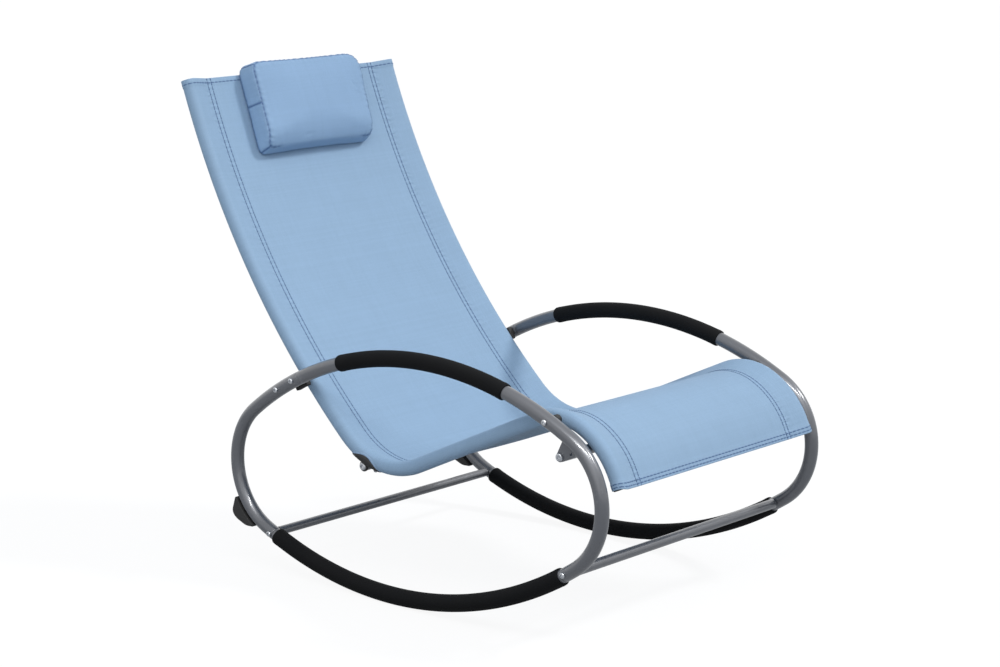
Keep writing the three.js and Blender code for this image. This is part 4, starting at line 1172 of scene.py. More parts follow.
@dataclass
class Fasteners:
    """Every screw that crosses the chair along X, and a washer under each bolt by the rear corners."""

    washer_radius: float = 0.0092
    washer_height: float = 0.0011

    def button(self, node: str, size: ScrewSize, side: float) -> None:
        """A screw in the place of a CAD one: domed head, hexagon socket and plain shank."""
        low, high, middle = cad_box(node)
        middle[0] = high[0] if side > 0 else low[0]
        middle[0] -= side * size.rise
        length = high[0] - low[0] - size.rise
        turn = (np.linspace(0.0, 1.0, 9) * math.pi / 2)[:-1]
        widths = [size.head * (0.5 + 0.5 * math.cos(angle) ** 0.8) for angle in turn]
        heights = [size.rise * (0.28 + 0.72 * math.sin(angle)) for angle in turn]
        top, floor = size.rise, size.rise - size.depth
        rows = [(0, -length), (size.shank * 0.8, -length), (size.shank, -length + 0.0006), (size.shank, 0)]
        rows += [(size.head * 0.97, 0), (size.head, 0.0003), *zip(widths, heights)]
        plain = len(rows) + 1
        rows += [(size.socket * 1.22, top), (size.socket * 1.06, top - 0.0001), (size.socket, top - 0.0004)]
        rows += [(size.socket, floor), (size.socket * 0.5, floor - 0.0003), (0, floor - 0.0005)]
        hexed = np.array([0.0] * plain + [1.0] * (len(rows) - plain))
        shape = turned(np.array(rows), middle, np.array([side, 0.0, 0.0]), 48, hexed)
        dress(shape.piece(f"{node}_turned", sharp=28.0), ZINC, node)

    def washer(self, hand: str) -> None:
        """A thin washer round the shank under the corner bolt's head."""
        side = SIDES[hand]
        low, high, middle = cad_box(f"corner_bolt_{hand}")
        middle[0] = (high[0] if side > 0 else low[0]) - side * (BOLT.rise + self.washer_height * 0.25)
        bore, rim, half = BOLT.shank + 0.0001, self.washer_radius, self.washer_height / 2
        line = fillet(np.array([(bore, -half), (rim, -half), (rim, half), (bore, half)]), 0.0003, 3)
        dress(turned_ring(line, middle, np.array([side, 0.0, 0.0])).piece(f"corner_washer_{hand}"), ZINC)

    def build(self) -> None:
        """Makes the screws and bolts, and finishes the small tilted screws."""
        kinds = dict.fromkeys(("splice", "rear_rail", "front_rail", "rear_bar", "front_bar"), SCREW)
        sizes = {f"{kind}_screw": size for kind, size in kinds.items()}
        sizes |= {"bracket_bolt": BOLT, "corner_bolt": BOLT}
        for hand, side in SIDES.items():
            for kind, size in sizes.items():
                self.button(f"{kind}_{hand}", size, side)
            for kind in ("saddle_screw", "stop_screw"):
                coat(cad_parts[f"{kind}_{hand}"], ZINC)


@dataclass
class Bars:
    """The two cross bars between the hoops and the two spreaders that hold the sling open."""

    wall: float = 0.0015
    plug: float = 0.025
    radii: dict[str, float] = field(
        default_factory=lambda: {
            "rear_cross_bar": 0.008,
            "front_cross_bar": 0.00875,
            "rear_spreader": 0.0085,
            "front_spreader": 0.0085,
        }
    )

    def build(self) -> None:
        """Makes the four bars."""
        for node, radius in self.radii.items():
            bore = BOLT_BORE if "spreader" in node else SCREW_BORE
            dress(round_bar(f"{node}_painted", node, radius, self.wall, bore, self.plug), PAINT, node)


# Rails


@dataclass
class Rail:
    """One bent side rail with its end plugs and the saddle under its rear corner."""

    paths: Paths
    route: Route
    hand: str
    radius: float = 0.012
    wall: float = 0.0015
    inset: float = 0.006
    slip: float = 0.0003
    bore: float = 0.0123
    saddle_thickness: float = 0.0027
    saddle_half: float = 0.033
    arch_base: float = 0.013
    arch_rise: float = 0.0173
    spreader_into_corner: float = 0.055
    saddle_behind_spreader: float = 0.009
    spreader_radius: float = 0.0085
    ear_radius: float = 0.0095
    ear_thickness: float = 0.003

    def __post_init__(self) -> None:
        """Works out the places along the rail."""
        self.side = SIDES[self.hand]
        self.x = self.side * self.paths.rail_x
        self.top = self.inset
        self.foot = self.route.total - self.inset
        self.spreader = float(self.route.starts[1]) + self.spreader_into_corner
        self.saddle_place = self.spreader + self.saddle_behind_spreader

    def tube(self) -> None:
        """The rail itself."""
        r, bore = self.radius, self.radius - self.wall
        corners = [(r, self.top), (r, self.foot), (bore, self.foot), (bore, self.top)]
        node = f"side_rail_{self.hand}"
        shape = bent_tube(self.route, corners, self.x, 0.0006)
        dress(shape.piece(f"{node}_painted"), PAINT, node)

    def plugs(self) -> None:
        """A moulded plug with a domed head in each open end."""
        stem = self.radius - self.wall - self.slip
        rows = [(0, -0.006), (stem - 0.002, -0.006), (stem, -0.004), (stem, 0), (0.0116, 0)]
        rows += [(self.radius, 0.0004), (self.radius, 0.0018)]
        rows += [(0.0112, 0.0027), (0.0098, 0.003), (0.006, 0.003), (0, 0.003)]
        for end, place, way in (("top", self.top, -1.0), ("front", self.foot, 1.0)):
            y, z, heading = self.route.at(place)
            axis = np.array([0.0, way * math.cos(heading), way * math.sin(heading)])
            origin = np.array([self.x, float(y), float(z)]) + axis * self.slip
            node = f"rail_{end}_plug_{self.hand}"
            dress(turned(np.array(rows), origin, axis).piece(f"{node}_moulded"), PLASTIC, node)

    def saddle(self) -> None:
        """The cradle round the underside of the rail and the ear that holds the rear spreader.

        At each place the cradle runs from angle -A to A round the rail's underside, where the
        cosine of A is the arch's height there over the radius. Its skin thins towards its rims.
        """
        share = np.linspace(-1.0, 1.0, 45)
        level = self.arch_base - self.arch_rise * (1 - share**2)
        reach = np.arccos(np.clip(level / (self.bore + self.saddle_thickness), -1, 1))
        across = np.linspace(-1.0, 1.0, 41)
        angle = reach[:, None] * across[None, :]
        thickness = self.saddle_thickness * (1 - 0.6 * across[None, :] ** 18)
        skin = self.bore + thickness * (1 - 0.5 * share[:, None] ** 16)
        place = self.saddle_place + share[:, None] * self.saddle_half + np.zeros_like(angle)
        shells = []
        for radius in (skin, np.full_like(skin, self.bore)):
            y, z = self.route.offset(place, radius * np.cos(angle))
            shells.append(np.stack([self.x + radius * np.sin(angle), y, z], -1))
        loop = np.concatenate([shells[0], shells[1][:, ::-1]], axis=1)
        rows, columns = loop.shape[:2]
        half = columns // 2
        strip = np.arange(half - 1)
        cap = np.stack([strip, strip + 1, columns - 2 - strip, columns - 1 - strip], -1)
        faces = np.vstack([grid_faces(rows, columns, False, True), cap, cap + (rows - 1) * columns])
        node = f"corner_saddle_{self.hand}"
        dress(Shape(loop.reshape(-1, 3), faces).piece(f"{node}_cradle", sharp=50.0), PLASTIC, node)
        self.ear(node)

    def ear(self, node: str) -> None:
        """The flat ear: a disc round the spreader's bolt and a neck up into the cradle."""
        distance = self.bore + self.saddle_thickness + self.slip + self.spreader_radius
        y, z = (float(v) for v in self.route.offset(self.spreader, distance))
        _, _, heading = self.route.at(self.spreader)
        lift = math.atan2(math.cos(heading), -math.sin(heading)) + math.pi
        sweep = np.linspace(lift + 0.95, lift + 2 * math.pi - 0.95, 40)
        disc = np.column_stack([y + self.ear_radius * np.cos(sweep), z + self.ear_radius * np.sin(sweep)])
        steps, reach = (self.spreader_radius, -self.spreader_radius), self.bore + 0.0012
        ends = np.array([self.route.offset(self.spreader + step, reach) for step in steps], float)
        if np.linalg.norm(ends[0] - disc[-1]) > np.linalg.norm(ends[1] - disc[-1]):
            ends = ends[::-1]
        circle = full_turn(32)
        hole = np.column_stack([y + BOLT_BORE * np.cos(circle), z + BOLT_BORE * np.sin(circle)])
        inner = self.paths.rail_x - 0.005 + self.slip
        faces = sorted((self.side * inner, self.side * (inner + self.ear_thickness)))
        dress(plate(f"{node}_ear", [np.vstack([disc, ends]), hole], (faces[0], faces[1]), 0.0005), PLASTIC)

    def build(self) -> None:
        """Makes every piece of the rail."""
        self.tube()
        self.plugs()
        self.saddle()


# Sewing


@dataclass(frozen=True)
class Stitching:
    """Lockstitches: short, slightly arched lengths of thread with their ends sunk in the cloth."""

    length: float = 0.0034
    pitch: float = 0.0046
    thickness: float = 0.00042

    def template(self) -> tuple[Array, Array]:
        """One stitch along local X with Z out of the cloth: five rings of six points and two tips.

        Returns:
            The points and the faces.
        """
        along = np.array([-0.5, -0.3, 0.0, 0.3, 0.5]) * self.length
        lift = np.array([-0.6, 0.55, 0.8, 0.55, -0.6]) * self.thickness
        radius = np.array([0.35, 0.9, 1.0, 0.9, 0.35]) * self.thickness
        angle = full_turn(6)
        rings = np.stack(
            [
                along[:, None] + 0 * angle,
                radius[:, None] * np.cos(angle),
                lift[:, None] + radius[:, None] * np.sin(angle),
            ],
            -1,
        ).reshape(-1, 3)
        tips = np.array([[along[0] * 1.04, 0, lift[0]], [along[-1] * 1.04, 0, lift[-1]]])
        side = grid_faces(5, 6, False, True)
        ring = np.arange(6)
        near = np.stack([ring, (ring + 1) % 6, np.full(6, 30), np.full(6, 30)], -1)
        far = np.stack([ring + 24, (ring + 1) % 6 + 24, np.full(6, 31), np.full(6, 31)], -1)
        return np.vstack([rings, tips]), np.vstack([side, near, far])

    def sew(self, name: str, spots: Array, forward: Array, outward: Array) -> Piece:
        """Copies the stitch to every spot in one mesh.

        Args:
            name: The piece's name.
            spots: Middles of the stitches.
            forward: Direction of the seam at each.
            outward: Direction out of the cloth at each.

        Returns:
            All stitches as one object.
        """
        points, faces = self.template()
        tangent, normal = unit(forward), unit(outward)
        aside = np.cross(normal, tangent)
        placed = (
            spots[:, None]
            + points[None, :, :1] * tangent[:, None]
            + points[None, :, 1:2] * aside[:, None]
            + points[None, :, 2:] * normal[:, None]
        )
        shifts = (np.arange(len(spots)) * len(points))[:, None, None]
        every = (faces[None] + shifts).reshape(-1, 4)
        quads = [list(dict.fromkeys(face)) for face in every.tolist()]
        mesh = bpy.data.meshes.new(name)
        mesh.from_pydata(placed.reshape(-1, 3).tolist(), [], quads)
        tidy(mesh, 1e-9)
        return link(name, mesh, 80.0)


def spaced(points: Array, step: float, closed: bool) -> tuple[Array, Array]:
    """Points at even distances along a line through given points.

    Args:
        points: The line's points.
        step: The distance wanted between the new ones.
        closed: Whether the line returns to its start.

    Returns:
        The new points and their distances along the line.
    """
    line = np.vstack([points, points[:1]]) if closed else points
    run = np.concatenate([[0.0], np.cumsum(np.linalg.norm(np.diff(line, axis=0), axis=1))])
    count = max(2, int(run[-1] / step))
    marks = (np.arange(count) + 0.5) * run[-1] / count
    return np.stack([np.interp(marks, run, line[:, axis]) for axis in range(line.shape[1])], -1), marks


# Sling


@dataclass
class Sling:
    """One sheet of woven mesh stretched between the rails, with a sewn pocket round each of them."""

    paths: Paths
    route: Route
    thickness: float = 0.0008
    pocket: float = 0.0415
    bore: float = 0.0123
    seat_sag: float = 0.0045
    back_sag: float = 0.002
    hem: float = 0.0125
    tail: float = 0.0125
    rows: tuple[float, float] = (0.0005, 0.0095)
    corner_pull: float = 0.0045
    saddle_half: float = 0.034
    arch_base: float = 0.013
    arch_rise: float = 0.0183
    cutout_inboard: float = 0.0168
    saddle_from_corner: float = 0.064
    tape: tuple[float, float] = (0.0008, 0.0019)
    coarse: float = 0.008
    fine: float = 0.0015
    hem_zone: float = 0.015
    pull_length: float = 0.03
    pull_width: float = 0.022
    seam_inset: float = 0.005
    seam_width: float = 0.007
    stitching: Stitching = field(default_factory=Stitching)

    def __post_init__(self) -> None:
        """Works out the pocket's section: a straight side that touches a circle round the rail."""
        self.seam = self.paths.rail_x - self.pocket
        self.round = self.bore + self.thickness / 2
        self.touch = math.asin(self.round / self.pocket)
        self.straight = math.sqrt(self.pocket**2 - self.round**2)
        self.arc_start = self.seam + self.straight
        self.bottom = self.arc_start + self.round * (math.pi + self.touch)
        self.saddle_place = float(self.route.starts[1]) + self.saddle_from_corner

    def places(self) -> Array:
        """Rows of the sheet, closer together by the hems and the cut-out."""
        end, hem, half = self.route.total, self.hem_zone, self.saddle_half + 0.004
        before, after = self.saddle_place - half, self.saddle_place + half
        spans = [(0, hem, self.fine), (hem, before, self.coarse), (before, after, self.fine)]
        spans += [(after, end - hem, self.coarse), (end - hem, end, self.fine)]
        parts = [np.linspace(a, b, int((b - a) / step), endpoint=False) for a, b, step in spans]
        return np.concatenate([*parts, [end]])

    def hemmed(self, place: Array) -> Array:
        """1 where the sheet is folded double at its two ends, 0 elsewhere."""
        inset = np.minimum(place, self.route.total - place)
        return 1.0 - eased((inset - self.hem) / self.fine)

    def sag(self, place: Array) -> Array:
        """Depth of the hollow in the middle of the sheet, eased between its deepest and flat places."""
        starts, lengths = self.route.starts, self.route.lengths
        back, seat, knee = (starts[run] + lengths[run] / 2 for run in (0, 2, 3))
        keys = np.array([0, back, seat, knee, self.route.total])
        depths = np.array([0, self.back_sag, self.seat_sag, 0, 0])
        index = np.clip(np.searchsorted(keys, place, side="right") - 1, 0, len(keys) - 2)
        share = eased((place - keys[index]) / (keys[index + 1] - keys[index]))
        return depths[index] + (depths[index + 1] - depths[index]) * share

    def surface(self, across: Array, place: Array, lift: Array | float = 0.0) -> Array:
        """Points of the sheet's middle face, from the middle of the seat out and round the rail.

        Up to the seam the sheet is flat but for its hollow, a parabola across it. Then it runs
        straight to where it touches the circle round the rail, and then round that circle.

        Args:
            across: Signed distance from the sheet's middle line, measured in the cloth.
            place: Place along the rail.
            lift: Distance out of the cloth.

        Returns:
            The points, in the arguments' common shape and three more.
        """
        across, place = np.broadcast_arrays(np.asarray(across, float), np.asarray(place, float))
        far, side = np.abs(across), np.sign(across)
        swell = self.hemmed(place) * self.thickness / 2
        place = self.pulled(place, (far - self.arc_start + 0.001) / self.pull_width)
        ring = self.round + swell + lift
        angle = math.pi / 2 + self.touch - (far - self.arc_start) / self.round
        hollow = self.sag(place) * np.maximum(0.0, 1 - (far / self.seam) ** 2)
        slope = (far - self.seam) * math.sin(self.touch)
        run = self.seam + (far - self.seam) * math.cos(self.touch)
        x = np.where(far <= self.seam, far, run - lift * math.sin(self.touch))
        h = np.where(far <= self.seam, lift - hollow, slope + (lift + swell) * math.cos(self.touch))
        curved = far > self.arc_start
        x = np.where(curved, self.paths.rail_x + ring * np.cos(angle), x)
        h = np.where(curved, ring * np.sin(angle), h)
        y, z = self.route.offset(place, -h)
        return np.stack([side * x, y, z], -1)

    def pulled(self, place: Array, share: Array) -> Array:
        """Places with the corners of the front hem drawn back, by a share that is eased to 0 and 1."""
        near = np.clip(1 - (self.route.total - place) / self.pull_length, 0.0, 1.0)
        return place - self.corner_pull * eased(share) * near

    def arch_level(self, place: Array) -> Array:
        """Height in the section, towards the sitter, up to which the cut-out removes the sheet."""
        share = (place - self.saddle_place) / self.saddle_half
        return self.arch_rise * (1 - share**2) - self.arch_base

    def upper_edge(self, place: Array) -> Array:
        """Distance across the cloth at which the outer rim of the cut-out lies, or the pocket's bottom."""
        level = np.clip(self.arch_level(place) / self.round, -1.0, 1.0)
        return self.arc_start + self.round * (math.pi / 2 + self.touch - np.arcsin(level))

    def lower_span(self, place: Array) -> Array:
        """Distance from the pocket's bottom to the inner rim of the cut-out."""
        level = self.arch_level(place)
        arc = self.round * self.touch
        on_arc = self.round * np.arccos(np.clip(-level / self.round, -1.0, 1.0))
        on_straight = arc + (level + self.round * math.cos(self.touch)) / math.sin(self.touch)
        limit = arc + (self.cutout_inboard - self.round * math.sin(self.touch)) / math.cos(self.touch)
        reach = np.where(level < -self.round * math.cos(self.touch), on_arc, on_straight)
        return np.where(level <= -self.round, 0.0, np.clip(reach, 0.0, limit))

    def lower(self, inward: Array, place: Array) -> Array:
        """Points of the pocket's lower layer, from its bottom inwards to the seam and on as a tail.

        Args:
            inward: Distance from the pocket's bottom.
            place: Place along the rail.

        Returns:
            The points on the left-hand side.
        """
        inward, place = np.broadcast_arrays(inward, place)
        arc = self.round * self.touch
        swell = self.hemmed(place) * self.thickness / 2
        ring = self.round + swell
        angle = -math.pi / 2 - inward / self.round
        past = (inward - arc) / self.straight
        start_x = self.paths.rail_x - ring * math.sin(self.touch)
        start_h = -ring * math.cos(self.touch)
        under = -self.thickness - 0.0001
        x = np.where(past > 1, self.seam - (past - 1) * self.straight, start_x + (self.seam - start_x) * past)
        h = np.where(past > 1, under, start_h + (under - start_h) * past)
        x = np.where(inward < arc, self.paths.rail_x + ring * np.cos(angle), x)
        h = np.where(inward < arc, ring * np.sin(angle), h)
        hollow = self.sag(place) * np.maximum(0.0, 1 - (x / self.seam) ** 2) * (past > 1)
        place = self.pulled(place, 1 + 0 * past)
        y, z = self.route.offset(place, hollow - h)
        return np.stack([x, y, z], -1)

    def cloth_piece(self) -> Piece:
        """The whole sheet: one grid over the top and round both rails, and one under each of them.

        Returns:
            The sheet, given its thickness by a modifier and thicker at its hems and seams.
        """
        place = self.places()
        edge = self.upper_edge(place)
        flat = np.linspace(0.0, self.seam, 27)
        rise = np.linspace(self.seam, self.arc_start, 7)[1:]
        fixed = np.concatenate([flat, rise])
        curl = self.arc_start + (edge[:, None] - self.arc_start) * np.linspace(0.0, 1.0, 19)[None, 1:]
        half = np.hstack([np.broadcast_to(fixed, (len(place), len(fixed))), curl])
        across = np.hstack([-half[:, :0:-1], half])
        rows, columns = across.shape
        points = [self.surface(across, place[:, None]).reshape(-1, 3)]
        cloth = [np.stack([across, np.broadcast_to(place[:, None], across.shape)], -1).reshape(-1, 2)]
        faces = [grid_faces(rows, columns)]
        start = self.lower_span(place)
        end = self.round * self.touch + self.straight
        run = start[:, None] + (end - start[:, None]) * np.linspace(0.0, 1.0, 10)[None, :]
        inward = np.hstack([run, np.broadcast_to(end + self.tail * np.array([0.5, 1.0]), (rows, 2))])
        under = self.lower(inward, place[:, None])
        for side in (-1.0, 1.0):
            shift = sum(len(part) for part in points)
            points.append((under * np.array([side, 1.0, 1.0])).reshape(-1, 3))
            down = np.broadcast_to(place[:, None], inward.shape)
            cloth.append(np.stack([side * (self.bottom + inward), down], -1).reshape(-1, 2))
            faces.append(grid_faces(rows, inward.shape[1]) + shift)
        self.flat_size = (2 * (self.bottom + end + self.tail), self.route.total)
        shape = Shape(np.vstack(points), np.vstack(faces), np.vstack(cloth))
        mesh = shape.mesh("sling_cloth")
        mark(mesh, "layers", self.layers(shape.cloth))
        tidy(mesh, 2e-6)
        piece = link("sling_cloth", mesh, 60.0)
        self.face_sitter(piece)
        self.thicken(piece)
        return piece

    def layers(self, cloth: Array) -> Array:
        """Share of the full double thickness at each point: two layers at the hems and seams, else one."""
        return 0.5 + 0.5 * self.doubled(cloth[:, 0], cloth[:, 1])

    def doubled(self, across: Array, place: Array) -> Array:
        """How much of a second layer lies at points of the sheet, from 0 to 1."""
        seam = bell(np.abs(across) - self.seam + self.seam_inset, self.seam_width)
        return np.clip(self.hemmed(place) + 0.7 * seam, 0.0, 1.0)

    def face_sitter(self, piece: Piece) -> None:
        """Turns the sheet over if its face at the seat looks down."""
        faces = piece.data.polygons
        middle = np.abs(read(faces, "center", 3)[:, 0]) < self.seam * 0.5
        if read(faces, "normal", 3)[middle, 2].mean() < 0:
            piece.data.flip_normals()

    def thicken(self, piece: Piece) -> None:
        """Gives the sheet its thickness, following its number of layers."""
        weigh(piece, "layers", read(piece.data.attributes["layers"].data, "value", kind=np.float32), 2)
        solid = piece.modifiers.new("thickness", "SOLIDIFY")
        solid.thickness, solid.offset, solid.use_even_offset = self.thickness * 2, 0.0, False
        solid.vertex_group = "layers"

    def hem_rows(self) -> tuple[float, ...]:
        """Places of the stitch rows across the top hem and the front hem."""
        return (0.0088, self.route.total - 0.0045, self.route.total - 0.0105)

    def seams(self) -> Piece:
        """All stitches: two rows along each side seam, one across the top hem, two across the front."""
        stitch, step = self.stitching, 1e-4
        lift = self.thickness / 2 + 0.00012
        lines = []
        marks = np.arange(0.003, self.route.total - 0.003, stitch.pitch)
        for side in (-1.0, 1.0):
            lines += [(side * (self.seam - shift) + 0 * marks, marks, (0.0, step)) for shift in self.rows]
        reach = self.arc_start + self.round * 2.2
        wide = np.arange(-reach, reach, stitch.pitch)
        for place in self.hem_rows():
            lines.append((wide, place + 0 * wide, (step, 0.0)))
        spots, forward, outward = [], [], []
        for across, place, (da, dp) in lines:
            raised = lift + self.doubled(across, place) * self.thickness * 0.5
            spots.append(self.surface(across, place, raised))
            forward.append(self.surface(across + da, place + dp, raised) - spots[-1])
            out = np.cross(
                self.surface(across + step, place) - self.surface(across - step, place),
                self.surface(across, place + step) - self.surface(across, place - step),
            )
            outward.append(out)
        outward = unit(np.vstack(outward))
        middle = np.abs(np.vstack(spots)[:, 0]) < self.seam
        if outward[middle, 2].mean() < 0:
            outward = -outward
        return stitch.sew("sling_stitches", np.vstack(spots), np.vstack(forward), outward)

    def binding(self, side: float) -> Piece:
        """The tape sewn over the rim of a cut-out, a flat oval section carried round the rim."""
        step = 0.0012
        inset = self.saddle_half * 0.985
        place = self.saddle_place + inset * np.sin(np.linspace(-math.pi / 2, math.pi / 2, 60))
        outer = self.surface(self.upper_edge(place) - step, place)
        inner = self.lower(self.lower_span(place) + step, place)[1:-1][::-1]
        rim, _ = spaced(np.vstack([outer, inner]), step, True)
        forward = unit(np.roll(rim, -1, 0) - np.roll(rim, 1, 0))
        rail_y, rail_z, _ = self.route.at(self.nearest(rim))
        centre = np.column_stack([np.full(len(rim), self.paths.rail_x), rail_y, rail_z])
        outward = unit(rim - centre)
        outward = unit(outward - forward * np.sum(outward * forward, axis=1, keepdims=True))
        aside = np.cross(forward, outward)
        sides, (thick, wide) = 12, self.tape
        angle = full_turn(sides)
        out = thick * np.cos(angle)[None, :, None] * outward[:, None]
        section = out + wide * np.sin(angle)[None, :, None] * aside[:, None]
        points = (rim[:, None] + section) * np.array([side, 1.0, 1.0])
        lengthwise = np.broadcast_to(np.arange(len(rim))[:, None] * step, (len(rim), sides))
        around = np.broadcast_to(angle[None, :] * step, (len(rim), sides))
        cloth = np.stack([around, lengthwise], -1).reshape(-1, 2)
        name = "cutout_binding_left" if side > 0 else "cutout_binding_right"
        return Shape(points.reshape(-1, 3), grid_faces(len(rim), sides, True, True), cloth).piece(name)

    def nearest(self, points: Array) -> Array:
        """Places along the rail nearest to points, from a fine table of the path near the saddle."""
        reach = 0.06
        table = np.linspace(self.saddle_place - reach, self.saddle_place + reach, 600)
        y, z, _ = self.route.at(table)
        gap = np.hypot(points[:, 1:2] - y, points[:, 2:3] - z)
        return table[np.argmin(gap, axis=1)]

    def build(self) -> None:
        """Makes the sheet, its stitches and the bindings of its cut-outs."""
        finish = replace(SLING_MESH, crosswise=self.hem_rows())
        cloth = dress(self.cloth_piece(), finish, "sling")
        stitches = dress(self.seams(), THREAD)
        tapes = [dress(self.binding(side), BINDING) for side in (-1.0, 1.0)]


# Pillow


@dataclass
class Pillow:
    """A boxed head cushion over the top hem, and the flap that holds it from behind.

    It is shaped flat, in distances across the sling, down the sling and out of it, and is then
    laid on the backrest's curve.
    """

    route: Route
    above: float = 0.016
    below: float = 0.158
    back_half: float = 0.1385
    front_half: float = 0.1315
    seat: float = 0.0008
    depth: float = 0.039
    crown: float = 0.01
    undercut: float = 0.006
    draw_in: float = 0.0022
    top_corner: float = 0.022
    full_corner: float = 0.045
    bottom_corner: float = 0.016
    roll: float = 0.042
    voxel: float = 0.0042
    pressure: float = 4.0
    cap: float = 0.006
    cross_seam: float = 0.064
    creases: ClassVar[tuple[tuple[tuple[float, float], tuple[float, float]], ...]] = (
        ((0.118, 0.062), (0.100, 0.040)),
        ((0.121, 0.070), (0.107, 0.066)),
        ((-0.05, 0.147), (-0.02, 0.139)),
    )
    crease_depth: float = 0.0009
    fuller_left: tuple[float, float] = (0.0115, -0.0095)
    fuller_right: tuple[float, float] = (-0.002, -0.004)
    frames: int = 20
    front_pucker: tuple[float, float] = (0.0012, 0.0005)
    other_pucker: tuple[float, float] = (0.0008, 0.0002)
    pucker_pitch: float = 0.0135
    stitch_beat: float = 0.0105
    open_half: float = 0.115
    tight_pitch: float = 0.0032
    flap_half: float = 0.12
    flap_length: float = 0.11
    flap_thickness: float = 0.0013
    flap_front: float = 0.006
    stitching: Stitching = field(default_factory=lambda: Stitching(0.0036, 0.0058, 0.0003))

    def outline(self) -> Array:
        """The back's outline, [across, down], a rounded rectangle whose sides are drawn in."""
        half, top, bottom = self.back_half, -self.above, self.below
        corners = np.array([(-half, top), (half, top), (half, bottom), (-half, bottom)])
        radii = np.array([self.top_corner, self.full_corner, self.bottom_corner, self.bottom_corner])
        line = resample(fillet(corners, radii, 8), 0.005)
        middle = (top + bottom) / 2
        u, v = line[:, 0] / half, (line[:, 1] - middle) / (bottom - middle)
        drawn_x = line[:, 0] - np.sign(u) * self.draw_in * np.abs(u) ** 3 * (1 - v**2)
        drawn_y = line[:, 1] - np.sign(v) * self.draw_in * np.abs(v) ** 3 * (1 - u**2)
        return np.column_stack([drawn_x, drawn_y])

    def ring(self, scale: Array | float, height: Array | float) -> Array:
        """The outline drawn together about its middle and narrowed towards the front."""
        line = self.outline()
        middle = (self.below - self.above) / 2
        share = (height - self.seat) / self.depth
        narrow = 1 + (self.front_half / self.back_half - 1) * share
        low = np.maximum(line[:, 1] - middle, 0) / (self.below - middle)
        down = middle + (line[:, 1] - middle) * scale - low * self.undercut * share * scale
        flat = np.column_stack([line[:, 0] * scale * narrow, down, np.full(len(line), height)])
        return self.slumped(flat)

    def slumped(self, flat: Array) -> Array:
        """The loose fit of the cover: fuller towards the top of the sitter's left, and rolled under below."""
        middle = (self.below - self.above) / 2
        u, v = flat[:, 0] / self.back_half, (flat[:, 1] - middle) / (self.below - middle)
        left = (1 + u) / 2 * (self.fuller_left[0] + self.fuller_left[1] * v)
        right = (1 - u) / 2 * (self.fuller_right[0] + self.fuller_right[1] * v)
        under = np.clip((flat[:, 1] - self.below + self.roll) / self.roll, 0.0, 1.0) ** 2
        sunk = (flat[:, 2] - self.seat) * 0.5 * under
        return flat + np.column_stack([left + right, 0 * u, -sunk])

    def form(self) -> Piece:
        """The closed starting form: rings from the back's middle, up the sides, to the front's middle."""
        front, back = self.seat + self.depth, self.seat
        levels = [(k, back) for k in (0.0, 0.25, 0.5, 0.75, 0.9, 0.97)]
        levels += [(0.993, back + 0.001), (1.0, back + 0.004)]
        levels += [(1.0, back + h) for h in np.linspace(0.008, self.depth - 0.004, 6)]
        levels += [(0.993, front - 0.001), (0.975, front + 0.0004)]
        levels += [(k, front + self.crown * (1 - k**2)) for k in (0.93, 0.85, 0.7, 0.5, 0.25, 0.0)]
        rings = np.stack([self.ring(scale, height) for scale, height in levels])
        rows, columns = rings.shape[:2]
        return Shape(rings.reshape(-1, 3), grid_faces(rows, columns, False, True)).piece("pillow_form", 1e-5)

    def seam_lines(self) -> dict[str, Array]:
        """Where the cushion is sewn, in flat space: front and back edges, corners and side joins."""
        front = self.ring(0.988, self.seat + self.depth - 0.0005)
        back = self.ring(1.0, self.seat + 0.0035)
        lines = {"front": front, "back": back}
        for across in (-1.0, 1.0):
            for label, down in (("top", -1.0), ("bottom", 1.0), ("join", 0.0)):
                if down:
                    index = int(np.argmax(front[:, 0] * across + front[:, 1] * down))
                else:
                    side = np.where(front[:, 0] * across > 0.12, 0.0, 1.0)
                    index = int(np.argmin(np.abs(front[:, 1] - self.cross_seam) + side))
                share = np.linspace(0.0, 1.0, 24)[:, None]
                lines[f"{label}_{across:.0f}"] = front[index] * (1 - share) + back[index] * share
        return lines

    def inflate(self, form: Piece) -> bpy.types.Mesh:
        """Remeshes the form evenly, lets pressure swell it between its pinned seams, and smooths it once.

        Args:
            form: The closed starting form, which is discarded.

        Returns:
            The swollen mesh, its back flat on the sling.
        """
        remesh = form.modifiers.new("even", "REMESH")
        remesh.mode, remesh.voxel_size = "VOXEL", self.voxel
        mesh = baked(form, "pillow_skin")
        discard(form)
        skin = link("pillow_skin", mesh)
        rest = coordinates(mesh)
        held = np.zeros(len(rest))
        for name in ("front", "back"):
            held = np.maximum(held, bell(self.distance_to(rest, self.seam_lines()[name])[0], 0.006))
        weigh(skin, "seam", held, 1)
        self.simulate(skin)
        mesh = baked(skin, "pillow_skin")
        moved = coordinates(mesh) - rest
        size = np.linalg.norm(moved, axis=1, keepdims=True)
        moved *= np.minimum(1.0, self.cap / np.maximum(size, 1e-9))
        place_points(mesh, rest + moved)
        skin.modifiers.clear()
        skin.data = mesh
        finer = skin.modifiers.new("finer", "SUBSURF")
        finer.levels = finer.render_levels = 1
        smooth = baked(skin, "pillow_cloth")
        discard(skin)
        points = coordinates(smooth)
        points[:, 2] = np.maximum(points[:, 2], self.seat)
        place_points(smooth, points)
        return smooth

